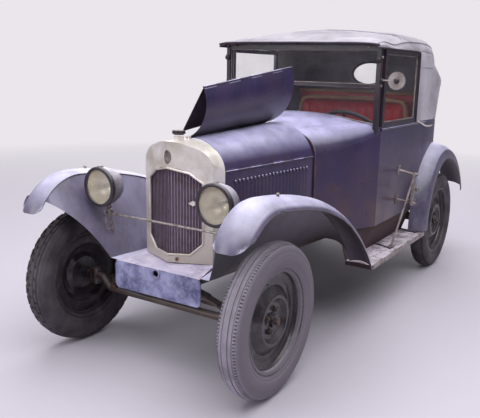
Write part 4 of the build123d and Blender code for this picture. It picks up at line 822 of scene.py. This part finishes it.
def puffed(piece, look):  # cloth simulation under pressure, its travel capped
    addModifier(piece, "REMESH", mode="VOXEL", voxel_size=look["voxel"])
    applyModifiers(piece)
    rest = [v.co.copy() for v in piece.data.vertices]
    cloth = addModifier(piece, "CLOTH")
    cloth.settings.use_pressure = True
    cloth.settings.uniform_pressure_force = look["pressure"]
    cloth.settings.quality = 4
    cloth.settings.effector_weights.gravity = 0
    for step in range(1, look["frames"] + 1):
        bpy.context.scene.frame_set(step)
    applyModifiers(piece)
    bpy.context.scene.frame_set(1)
    for v, start in zip(piece.data.vertices, rest):
        moved = v.co - start
        if moved.length > look["cap"]:
            v.co = start + moved.normalized() * look["cap"]
    return piece


def makeSeat(look):
    half, low, top, backY, count = (look[k] for k in ("half", "low", "top", "backY", "channels"))

    def channel(x, depth):  # how far the skin is drawn in by the nearest sewn line
        near = min(abs(x + half - i * 2 * half / count) for i in range(1, count))
        return depth * math.exp(-(near / 0.006) ** 2)

    base = puffed(slab(at(-half, look["frontY"], low), at(half, backY + 0.015, top), 0.028, 4, "seatCushion"),
                  look)
    for v in base.data.vertices:  # the top is hollowed a little by use
        if v.co.z > top - 0.02:
            v.co.z -= 0.0072 * math.cos(v.co.x / half * math.tau) ** 2 + channel(v.co.x, 0.009)
    back = puffed(slab(at(-half + 0.03, backY + 0.04, low + 0.12),
                       at(half - 0.03, backY + 0.04 + look["backDepth"], look["backTop"]), 0.034, 4,
                       "seatBack"), look)
    for v in back.data.vertices:
        if v.co.y < st(backY + 0.075):
            v.co.y += channel(v.co.x, 0.008)
    end = ((-half + 0.035, 0.054, 0.8), (-half + 0.036, 0.052, 1.1), (-half + 0.05, 0.05, 1.222),
           (-half + 0.12, 0.052, 1.243), (0, 0.053, 1.246))
    roll = tube([at(x, backY + y, z) for x, y, z in end + tuple((-x, y, z) for x, y, z in end[3::-1])], 0.017,
                name="seatRoll")
    for piece, finishName, fill in ((base, "leather", 0.7), (back, "leather", 0.7), (roll, "tan", 0.8)):
        done(piece, finishName, "seat_leather", replaces=["seat"] if piece == base else (), angle=60)


makeSeat(seatLook)
print("seat made")

# Headlamps: rim, mirror bowl, bulb, clip; the profiles are (along the car, in from the rim)
lampLook = {"x": 0.343, "y": -0.067, "z": 0.859, "radius": 0.095,
            "rim": ((-0.046, 0.012), (-0.0465, 0.006), (-0.044, -0.002), (-0.038, -0.0045), (-0.03, -0.0045),
                    (-0.026, -0.0025), (-0.0245, 0.002), (-0.03, 0.004), (-0.037, 0.0055), (-0.039, 0.0075),
                    (-0.0405, 0.012), (-0.046, 0.012)),
            "bowl": ((-0.03, 0.0095), (-0.01, 0.013), (0.015, 0.021), (0.035, 0.036), (0.05, 0.055),
                     (0.058, 0.075), (0.06, 0.083), (0.0615, 0.095), (0.063, 0.083), (0.061, 0.074),
                     (0.052, 0.053), (0.037, 0.034), (0.017, 0.0195), (-0.01, 0.0115), (-0.03, 0.008),
                     (-0.03, 0.0095)),
            "bulb": ((0.058, 0.0), (0.058, 0.008), (0.03, 0.008), (0.028, 0.011), (0.012, 0.012), (0.0, 0.0095),
                     (-0.004, 0.005), (-0.0055, 0.0))}


def makeLamps(look):
    x, y, z, r = (look[k] for k in ("x", "y", "z", "radius"))
    rim, bowl = (turned([(a, r - b) for a, b in look[k]], at(x, y, z)) for k in ("rim", "bowl"))
    bulb = turned(look["bulb"], at(x, y, z), steps=20)
    clip = slab(at(x - 0.008, y - 0.04, z + r + 0.002), at(x + 0.008, y - 0.012, z + r + 0.007), 0.0015)
    lamp = (("lampRim", rim, "black", "black_paint"), ("lampBowl", bowl, "reflector", "nickel"),
            ("lampBulb", bulb, "lens", "clear_glass"), ("lampClip", clip, "nickel", "nickel"))
    for side, change in ((".left", Matrix()), (".right", mirrorX)):
        for name, piece, finishName, slotName in lamp:
            done(copyOf(piece, name + side, change), finishName, slotName)
    for name, piece, finishName, slotName in lamp:
        bpy.data.objects.remove(piece)


makeLamps(lampLook)
print("lamps made")

# Radiator: window bead, blank badge and diamond, bolt, knurled cap
radiatorLook = {"ridge": -0.006, "slope": 0.4078, "badge": (1.028, 0.019, 1.75),
                "diamond": (0.112, 0.812, 0.023, 0.0135), "bolt": (0.043, 0.536), "capY": 0.082, "capZ": 1.1253,
                "cap": ((0, 0), (0, 0.0245), (0.004, 0.026), (0.006, 0.0306), (0.0145, 0.0306), (0.0165, 0.026),
                        (0.0175, 0.031), (0.0195, 0.0316), (0.021, 0.03), (0.022, 0.012), (0.022, 0)),
                "window": ((0, 0.977), (0.0996, 0.958), (0.166, 0.912), (0.166, 0.615), (0.104, 0.557),
                           (0, 0.557))}


def makeRadiator(look):
    slope, window = look["slope"], look["window"]

    def front(x, z, out=0.0):
        return at(x, look["ridge"] + abs(x) * slope - out, z)

    run = [front(*window[0], 0.001)]
    for before, corner, after in zip(window, window[1:], window[2:]):  # its corners rounded
        for share, end in ((0.3, before), (0.12, before), (0.0, corner), (0.12, after), (0.3, after)):
            x, z = (c + (e - c) * share for c, e in zip(corner, end))
            run.append(front(x * 0.985, z - (0.002 if z > 0.8 else -0.002), 0.001))
    run.append(front(*window[-1], 0.001))
    fitting("windowBead", both([tube(run, 0.0055)]), "nickelDull")
    z, wide, tall = look["badge"]
    badge = turned([(0.004, 0), (-0.001, 0), (-0.001, wide * 0.84), (-0.003, wide * 0.88),
                    (-0.003, wide * 0.96), (-0.001, wide), (0.004, wide), (0.004, 0)], steps=32)
    for v in badge.data.vertices:
        v.co = Vector((v.co.x, v.co.y, v.co.z * tall)) + front(v.co.x, z, 0.002) - Vector((v.co.x, 0, 0))
    fitting("badge", [badge])
    x, z, wide, tall = look["diamond"]
    facing = Vector((slope, -1, 0)).normalized()
    deselectAll()
    bpy.ops.mesh.primitive_cylinder_add(vertices=4, radius=1, depth=1)
    diamond = nameLast("diamond")
    pickFaces(diamond, lambda f: f.normal.z > 0.9)
    bpy.ops.mesh.inset(thickness=0.16, depth=0)
    bpy.ops.mesh.extrude_region_move(TRANSFORM_OT_translate={"value": (0, 0, -0.3)})
    objectMode()
    turn = Matrix((Vector((1, slope, 0)).normalized(), Vector((0, 0, 1)), facing)).transposed().to_4x4()
    diamond.data.transform(Matrix.Translation(front(x, z, -0.0075)) @ turn
                           @ Matrix.Diagonal((wide, tall, 0.004, 1)))
    outward(diamond)
    fitting("diamond", [diamond], "nickelDull")
    fitting("shellBolt", [hexHead(front(*look["bolt"]), facing, 0.014, 0.006)], "rust")
    base = look["capZ"]
    cap = turned([(base + a, r) for a, r in look["cap"]], at(0, look["capY"], 0), "Z", 64)

    def flute(f):
        sector = int((math.atan2(f.center.y - st(look["capY"]), f.center.x) / math.tau % 1) * 64)
        return base + 0.006 < f.center.z < base + 0.0145 and abs(f.normal.z) < 0.3 and sector % 2

    raiseFaces(cap, flute, 0.0013)
    outward(cap)
    fitting("capKnurled", [cap], "cap", replaces=["radiator_cap"])


makeRadiator(radiatorLook)
print("radiator fitted")

# Lamp brackets: a bent stay, two nuts and a collar under each lamp
bracketLook = {"x": 0.343, "y": -0.041, "z": 0.718}


def makeBrackets(look):
    x, y, z = look["x"], look["y"], look["z"]
    pieces = rods([((x + 0.004, y - 0.018, z + 0.012), (x + 0.006, y - 0.024, z - 0.03),
                    (x - 0.004, y - 0.02, z - 0.075), (x - 0.004, y - 0.004, z - 0.088),
                    (x - 0.004, y + 0.008, z - 0.078))], 0.0042, True)
    pieces.append(hexHead(at(x, y - 0.017, z), (0, -1, 0), 0.02, 0.012))
    pieces.append(hexHead(at(x + 0.02, y, z), (1, 0, 0), 0.018, 0.01))
    collar = ((0.008, 0.009), (0.008, 0.016), (0.022, 0.015), (0.026, 0.011), (0.04, 0.0105), (0.04, 0.009),
              (0.008, 0.009))
    pieces.append(turned([(z + a, r) for a, r in collar], at(x, y, 0), "Z", 20))
    fitting("lampBrackets", both(pieces), slotName="frame_steel")


makeBrackets(bracketLook)

# Wheels: four domed nuts on studs round the hub nut, and the valve
wheelLook = {"face": 0.011, "nuts": 0.052, "valve": 0.205,
             "stud": ((0, 0), (0, 0.0055), (0.007, 0.0055), (0.0095, 0.003), (0.0095, 0))}


def makeWheelParts(look, corner, side, y):
    pieces = []
    for a in (math.radians(45 + 90 * i) for i in range(4)):
        spot = Vector((look["face"], look["nuts"] * math.cos(a), look["nuts"] * math.sin(a)))
        pieces.append(hexHead(spot, (1, 0, 0), 0.021, 0.011))
        pieces.append(turned(look["stud"], spot + Vector((0.01, 0, 0)), "X", 16))
    pieces.append(hexHead((0.034, 0, 0), (1, 0, 0), 0.03, 0.014))
    valve = look["valve"]
    pieces.append(tube([(0.002, 0, valve), (0.012, 0, valve - 0.002), (0.03, 0, valve - 0.006)], 0.0038, False,
                       10))
    whole = joined("wheelNuts." + corner, pieces)
    turn = Matrix.Rotation(math.radians(20 + 30 * y), 4, "X")
    whole.data.transform(wheelPlace(side, y) @ Matrix.Diagonal((side, 1, 1, 1)) @ turn)
    if side < 0:
        whole.data.flip_normals()
    done(whole, "wheelNuts", "wheel_paint", "wheel_" + corner)


for corner, (kind, side, y) in tyreLook["corners"].items():
    makeWheelParts(wheelLook, corner, side, y)
print("wheels fitted")

# Fenders: rolled edges along the sheets' own rims, small knobs, the front ones' nose corners rounded off
fenderLook = {"knob": (0.581, 0.029, 0.9095), "edge": 0.0034, "noseZ": 0.7382, "noseRear": -0.25, "slope": 0.26,
              "middle": 0.57,
              "corners": ((0.657, 0.066), (0.4935, 0.05))}


def rimRun(node, y):  # the outermost lower rim of a fender, ordered round the wheel
    ordered = {}
    for p in (v.co for v in node.data.vertices if v.co.x > 0.6545 and v.co.y > st(-0.235)):
        a = round(math.atan2(p.z - axleZ, p.y - st(y)) / 0.06)
        near = (p.y - st(y)) ** 2 + (p.z - axleZ) ** 2
        if a not in ordered or near < ordered[a][0]:
            ordered[a] = (near, p + Vector((-0.0015, 0, 0)))
    return [ordered[k][1] for k in sorted(ordered)]


def makeFenderTrim(look):
    pieces = [tube(rimRun(nodes[name], y), look["edge"], True, 8)
              for name, y in (("front_fender_left", 0.0), ("rear_fender_left", 2.4))]
    fitting("fenderEdges", both(pieces), "black", "black_paint")
    fitting("fenderKnobs", both([button(look["knob"], (0, 0, 1), 0.009, 0.016)]))
    left = copyOf(nodes["front_fender_left"], "frontFender.left", Matrix())
    for v in left.data.vertices:
        for edge, radius in look["corners"]:
            t = 1 - abs(edge - v.co.x) / radius
            if (v.co.y < st(look["noseRear"]) and 0 < t <= 1
                    and (v.co.x - edge) * (edge - look["middle"]) <= 0.0001):
                rise = look["noseZ"] + radius * (1 - math.sqrt(1 - t * t)) - v.co.z
                if rise > 0:
                    v.co += Vector((0, rise * look["slope"], rise))
    for piece, side in ((left, "left"), (copyOf(left, "frontFender.right", mirrorX), "right")):
        done(piece, "fender", "body_paint", replaces=["front_fender_" + side], angle=32)


makeFenderTrim(fenderLook)

# Louvre tops on both bonnet sides, in the pale fender finish as painted highlights on the lips; the right one
# stands folded open, turned about two axes
louvreLook = {"count": 21, "start": (0.2295, 0.231, 0.905), "step": (0.00445, 0.0285, 0.00045),
              "turns": (((0.094161, -1.182711, 1.34866), (0.113305, 0.982931, 0.144945), -110.01),
                        ((0, -1.167, 1.106), (0, -0.999196, -0.040082), -146))}


def makeLouvreTops(look):
    pieces = []
    for i in range(look["count"]):
        deselectAll()
        bpy.ops.mesh.primitive_uv_sphere_add(segments=12, ring_count=8, radius=1)
        place = at(*(a + b * i for a, b in zip(look["start"], look["step"])))
        bpy.context.object.data.transform(Matrix.Translation(place)
                                          @ Matrix.Diagonal((0.0055, 0.009, 0.0095, 1)))
        pieces.append(bpy.context.object)
    left = joined("louvreTops.left", pieces)
    opened = Matrix()
    for place, axis, angle in look["turns"]:
        turn = Matrix.Rotation(math.radians(angle), 4, Vector(axis))
        opened = opened @ Matrix.Translation(place) @ turn @ Matrix.Translation(-Vector(place))
    for piece, side in ((left, "left"), (copyOf(left, "louvreTops.right", opened @ mirrorX), "right")):
        done(piece, "fender", "panel_paint", "bonnet_side_" + side)


makeLouvreTops(louvreLook)
fitting("scuttleCatch", both([button((0.372, 0.976, 0.818), (0.95, -0.3, 0), 0.007, 0.012)]))

# Beads: bonnet's rear edge, waist, hood base, rail
beadLook = {"scuttle": ((0.3335, 0.70), (0.3335, 0.96), (0.325, 1.02), (0.29, 1.0625), (0.245, 1.09),
                        (0.192, 1.1065), (0.1, 1.128), (0.05, 1.135), (0.02, 1.1375)),
            "waist": ((0.5495, 1.30, 1.104), (0.5495, 1.7, 1.104), (0.5495, 2.1, 1.104), (0.546, 2.2, 1.103),
                      (0.533, 2.32, 1.1)),
            "rail": ((0.551, 1.96, 1.118), (0.553, 2.05, 1.1), (0.556, 2.12, 1.078), (0.551, 2.22, 1.07),
                     (0.536, 2.34, 1.068), (0.515, 2.44, 1.064), (0.5, 2.5, 1.058))}


def makeBeads(look):
    scuttle = rods([[(x, 0.8715, z) for x, z in look["scuttle"]]], 0.0036, True, 8)
    fitting("scuttleBead", both(scuttle), "brass")
    fitting("waistBead", both(rods([look["waist"]], 0.006, True)), "body", "panel_paint")
    base = [p + Vector((0, 0.002, 0.004)) for p in roofRow(hoodLook, 1.0, count=30)]
    fitting("hoodBase", [tube(base, 0.006, True, 8)], "binding", "hood_cloth")
    fitting("waistRail", both(rods([look["rail"]], 0.0065, True)), "nickelDull")


makeBeads(beadLook)

# Windscreen: pale glass frames, pillar knobs and nuts, mirror
paneHalf = 0.509
screenLook = {"y": 1.265, "mirror": (0.632, 1.392),
              "frames": (((-paneHalf, 1.138), (-0.3, 1.163), (0, 1.176), (0.3, 1.163), (paneHalf, 1.138),
                          (paneHalf, 1.3485), (-paneHalf, 1.3485)),
                         ((-paneHalf, 1.3675), (paneHalf, 1.3675), (paneHalf, 1.5585), (-paneHalf, 1.5585))),
              "side": ((0.536, 1.334, 1.147), (0.536, 1.895, 1.147), (0.536, 1.895, 1.541),
                       (0.536, 1.334, 1.541)),
              "ball": ((-0.017, 0), (-0.0165, 0.006), (-0.013, 0.012), (-0.006, 0.0165), (0.002, 0.0175),
                       (0.01, 0.0145), (0.0155, 0.008), (0.0175, 0)),
              "nuts": (((0.5355, -0.006, 1.5225), (1, 0, 0), 0.008, 0.012),
                       ((0.5355, 0, 1.36), (1, 0, 0), 0.009, 0.011),
                       ((0.5227, -0.017, 1.585), (0, -1, 0), 0.009, 0.011),
                       ((0.46, -0.015, 1.58), (0, -1, 0), 0.007, 0.01)),
              "glass": ((0.0052, 0), (0.0052, 0.046), (0.0068, 0.0465), (0.0072, 0.045), (0.0072, 0)),
              "rim": ((0.0045, 0.0505), (0.008, 0.0505), (0.009, 0.049), (0.008, 0.0465), (0.0052, 0.0465),
                      (0.0045, 0.0505)),
              "boss": ((-0.005, 0), (-0.005, 0.017), (-0.012, 0.015), (-0.016, 0.009), (-0.017, 0))}


def makeScreen(look):
    y = look["y"]
    frames = [tube([at(a, y, b) for a, b in corners], 0.005, False, 8, True) for corners in look["frames"]]
    frames.append(tube([at(*p) for p in look["side"]], 0.005, False, 8, True))
    fitting("paneFrames", frames, "strip")
    balls = [turned(look["ball"], at(0.5227, y - 0.026, 1.507), steps=20)]
    balls += rods([((0.5227, y - 0.018, 1.507), (0.5227, y - 0.008, 1.507))], 0.009)
    fitting("pillarBalls", both(balls), "black", "black_paint")
    fitting("pillarNuts", both([button((a, y + b, c), *rest) for (a, b, c), *rest in look["nuts"]]))
    x, z = look["mirror"]
    glass, rim, boss = (turned(look[k], at(x, y, z), steps=n)
                        for k, n in (("glass", 40), ("rim", 40), ("boss", 24)))
    fitting("mirrorGlass", [glass], "mirror", "mirror_glass")
    fitting("mirrorFittings", [rim, boss, hexHead(at(x, y - 0.0165, z), (0, -1, 0), 0.014, 0.007)]
            + rods([((0.537, y, z), (0.548, y, z))], 0.011), "black", "black_paint")


makeScreen(screenLook)
print("windscreen fitted")

# Running boards: metal edge strip with clips, fluted mat, the two hooked straps
boardLook = {"front": 1.05, "rear": 2.012, "inner": 0.47, "outer": 0.645, "top": 0.345,
             "clips": (1.2, 1.44, 1.69, 1.93), "flutes": 12, "pitch": 0.0124,
             "straps": ((1.498, -0.05), (1.985, -0.04))}


def makeBoards(look):
    front, rear, inner, outer, top = (look[k] for k in ("front", "rear", "inner", "outer", "top"))
    strips = [slab(at(outer - 0.0075, front + 0.002, top - 0.024),
                   at(outer + 0.0018, rear - 0.002, top + 0.0022), 0.0012)]
    strips += [slab(at(outer - 0.016, y - 0.014, top - 0.02), at(outer + 0.0035, y + 0.014, top + 0.004),
                    0.0012)
               for y in look["clips"]]
    fitting("boardStrips", both(strips), "strip")
    ribs = [slab(at(x, front + 0.012, top - 0.001), at(x + 0.0065, rear - 0.012, top + 0.0022), 0.0008, 1)
            for x in (inner + 0.014 + i * look["pitch"] for i in range(look["flutes"]))]
    fitting("boardFlutes", both(ribs), "board", "board_rubber")
    hooks = []
    for y, slew in look["straps"]:
        hooks += rods([((0.476, y, top + 0.006), (0.53, y + slew * 0.4, top + 0.007),
                        (0.6, y + slew, top + 0.007)),
                       ((0.6, y + slew - 0.016, top + 0.007), (0.602, y + slew, top + 0.009),
                        (0.606, y + slew + 0.016, top + 0.007))], 0.0045)
    fitting("boardHooks", hooks, "black", "frame_steel")


makeBoards(boardLook)

# Spare carrier: nuts, pins and straps on its arms
carrierLook = {"bolts": (0.801, 0.841, 0.608, 0.648), "nut": (0.668, 1.669, 0.7065),
               "pins": ((0.657, 1.676, 0.8), (0.657, 1.664, 0.614)),
               "straps": (((0.622, 1.69, 0.804), (0.655, 1.70, 0.79)),
                          ((0.62, 1.64, 0.636), (0.662, 1.69, 0.63)))}


def makeCarrierTrim(look):
    pieces = [hexHead(at(0.5543, 1.654, z), (1, 0, 0), 0.012, 0.006) for z in look["bolts"]]
    pieces.append(hexHead(at(*look["nut"]), (1, 0, 0), 0.024, 0.012))
    pieces += [button(place, (1, 0, 0), 0.01, 0.016) for place in look["pins"]]
    fitting("carrierNuts", pieces + rods(look["straps"], 0.006))


makeCarrierTrim(carrierLook)

# Bows, inside panels, floor mat, dashboard and controls; blocks are (low corner, high corner, bevel)
cabinLook = {"bows": (1.25, 1.546, 1.906, 2.159), "dials": ((-0.02, 0.036), (0.09, 0.03), (-0.13, 0.03)),
             "dialY": 1.2632, "dialZ": 1.04, "knobs": (0.16, 0.2, 0.36), "wheel": (0.25, 1.53, 1.04),
             "side": (((0.5105, 1.34, 0.56), (0.5195, 2.06, 1.1), 0.003),
                      ((0.506, 1.36, 0.72), (0.512, 2.04, 0.87), 0.0028),
                      ((0.506, 1.36, 0.9), (0.512, 2.04, 1.05), 0.0028)),
             "rear": (((-0.505, 2.212, 0.88), (0.505, 2.226, 1.284), 0.005),),
             "door": (((-0.5195, 1.335, 0.6), (-0.5115, 1.885, 1.09), 0.003),
                      ((-0.513, 1.39, 0.64), (-0.503, 1.83, 0.8), 0.003)),
             "mat": (((-0.47, 1.16, 0.5185), (0.47, 1.69, 0.5235), 0.002),)}


def makeCabin(look):
    bows = []
    for y in look["bows"]:
        t = min(range(101), key=lambda k: abs(alongRoof(hoodLook, k / 100)[0].y - y)) / 100
        bows.append(tube([p - Vector((0, 0, 0.016)) for p in roofRow(hoodLook, t, -0.93, 0.93, 24)], 0.009,
                         True, 10))
    fitting("hoodBows", bows, "wood", "board_wood")
    side, rear, door, mat = ([slab(at(*low), at(*high), bevel) for low, high, bevel in look[k]]
                             for k in ("side", "rear", "door", "mat"))
    fitting("sidePanel", side, "leather", "seat_leather")
    fitting("rearPanel", rear, "leather", "seat_leather")
    fitting("rearRoll", rods([((-0.505, 2.218, 1.286), (0, 2.218, 1.291), (0.505, 2.218, 1.286))], 0.013, True),
            "tan", "seat_leather")
    fitting("doorPanel", door, "leather", "seat_leather", "door_right")
    lever = rods([((-0.575, 1.84, 1.03), (-0.575, 1.72, 1.026))], 0.007)
    lever += [button((-0.5475, 1.84, 1.03), (-1, 0, 0), 0.016, 0.03)]
    lever += rods([((-0.498, 1.83, 1.0), (-0.498, 1.75, 1.0))], 0.006)
    lever += [button((-0.5115, 1.83, 1.0), (1, 0, 0), 0.013, 0.015)]
    fitting("doorHandle", lever, "nickel", "nickel", "door_right")
    fitting("floorMat", mat, "blackRubber", "board_rubber")
    rims, faces, y, z = [], [], look["dialY"], look["dialZ"]
    for x, r in look["dials"]:
        rims.append(turned([(0, r), (0, r + 0.004), (0.005, r + 0.0045), (0.008, r + 0.002), (0.007, r),
                            (0, r)],
                           at(x, y, z), "Y", 32))
        faces.append(turned([(0, 0), (0, r), (0.003, r), (0.003, 0)], at(x, y, z), "Y", 32))
        faces.append(slab(at(x - 0.001, y + 0.0028, z), at(x + 0.001, y + 0.0043, z + r * 0.8), 0.0003, 1))
    fitting("dialRims", rims + [button((x, y, 1.005), (0, 1, 0), 0.009, 0.02) for x in look["knobs"]])
    fitting("dialFaces", faces, "strip")
    axis = Vector((0, 0.7314, 0.682))
    boss = turned([(0, 0), (0, 0.026), (0.006, 0.024), (0.009, 0.016), (0.014, 0.015), (0.017, 0.01),
                   (0.018, 0)],
                  at(*look["wheel"]) + axis * 0.024, "Z", 28, direction=axis)
    fitting("hornButton", [boss], "nickel", "nickel", "steering_wheel")


makeCabin(cabinLook)
print("cabin fitted")


# Engine: plug leads, head and sump nuts, fan belt, hose clips
def makeEngineTrim():
    leads = rods([((0.028, 0.33 + i * 0.1, 0.942), (0.034, 0.33 + i * 0.1, 0.975),
                   (0.075, 0.32 + i * 0.1, 0.96), (0.105, 0.4 - i * 0.01, 0.86),
                   (0.098, 0.35 + i * 0.012, 0.745)) for i in range(4)], 0.0036, True, 8)
    leads += [turned([(0.938, 0.004), (0.938, 0.0105), (0.95, 0.0095), (0.958, 0.005), (0.958, 0.004)],
                     at(0.028, 0.33 + i * 0.1, 0), "Z", 16) for i in range(4)]
    fitting("plugLeads", leads, "blackRubber", "board_rubber")
    nuts = [hexHead(at(x, 0.275 + i * 0.05, 0.905), (0, 0, 1), 0.016, 0.01) for i in range(9)
            for x in (-0.072, 0.064)]
    nuts += [hexHead(at(-0.115, 0.27 + i * 0.058, 0.645), (-1, 0, 0), 0.013, 0.007) for i in range(8)]
    fitting("engineNuts", nuts, slotName="iron")
    belt = []
    for a in (0.2, 1.0, 1.57, 2.14, 2.94, 3.6, 4.3, 4.71, 5.1, 5.8):
        middle, reach = (0.79, 0.046) if a <= math.pi else (0.49, 0.054)
        belt.append(at(0.0535 * math.cos(a), 0.231, middle + reach * math.sin(a)))
    fitting("fanBelt", [tube(belt, 0.0045, False, 8, True)], "blackRubber", "board_rubber")
    fitting("hoseClips", [turned([(y, 0.0222), (y, 0.0245), (y + 0.012, 0.0245), (y + 0.012, 0.0222),
                                  (y, 0.0222)],
                                 at(0, 0, 0.983), "Y", 28) for y in (0.125, 0.16)])


makeEngineTrim()
print("engine fitted")


# Stage
def makeStage(look):
    deselectAll()
    bpy.ops.mesh.primitive_circle_add(vertices=96, radius=40, fill_type="NGON", location=(0, 0, -0.0005))
    material = bpy.data.materials.new("paleFloor")
    material.use_nodes = True
    w = Wiring(material.node_tree)
    surface = w.fill(w.tree.nodes["Principled BSDF"], Base_Color=look["floor"], Roughness=0.75)
    far = w.add("VectorMath", operation="LENGTH")
    w.row(far, w.place())
    glow = w.fill(w.add("Emission"), Color=look["backdrop"])
    share = w.times(w.ramp(far.outputs["Value"], 2.6, 8.5), w.add("LightPath").outputs["Is Camera Ray"])
    w.link(w.row(w.add("MixShader"), share, surface, glow), w.tree.nodes["Material Output"].inputs["Surface"])
    ground = nameLast("studioFloor")
    ground.data.materials.append(material)


makeStage(lightLook)
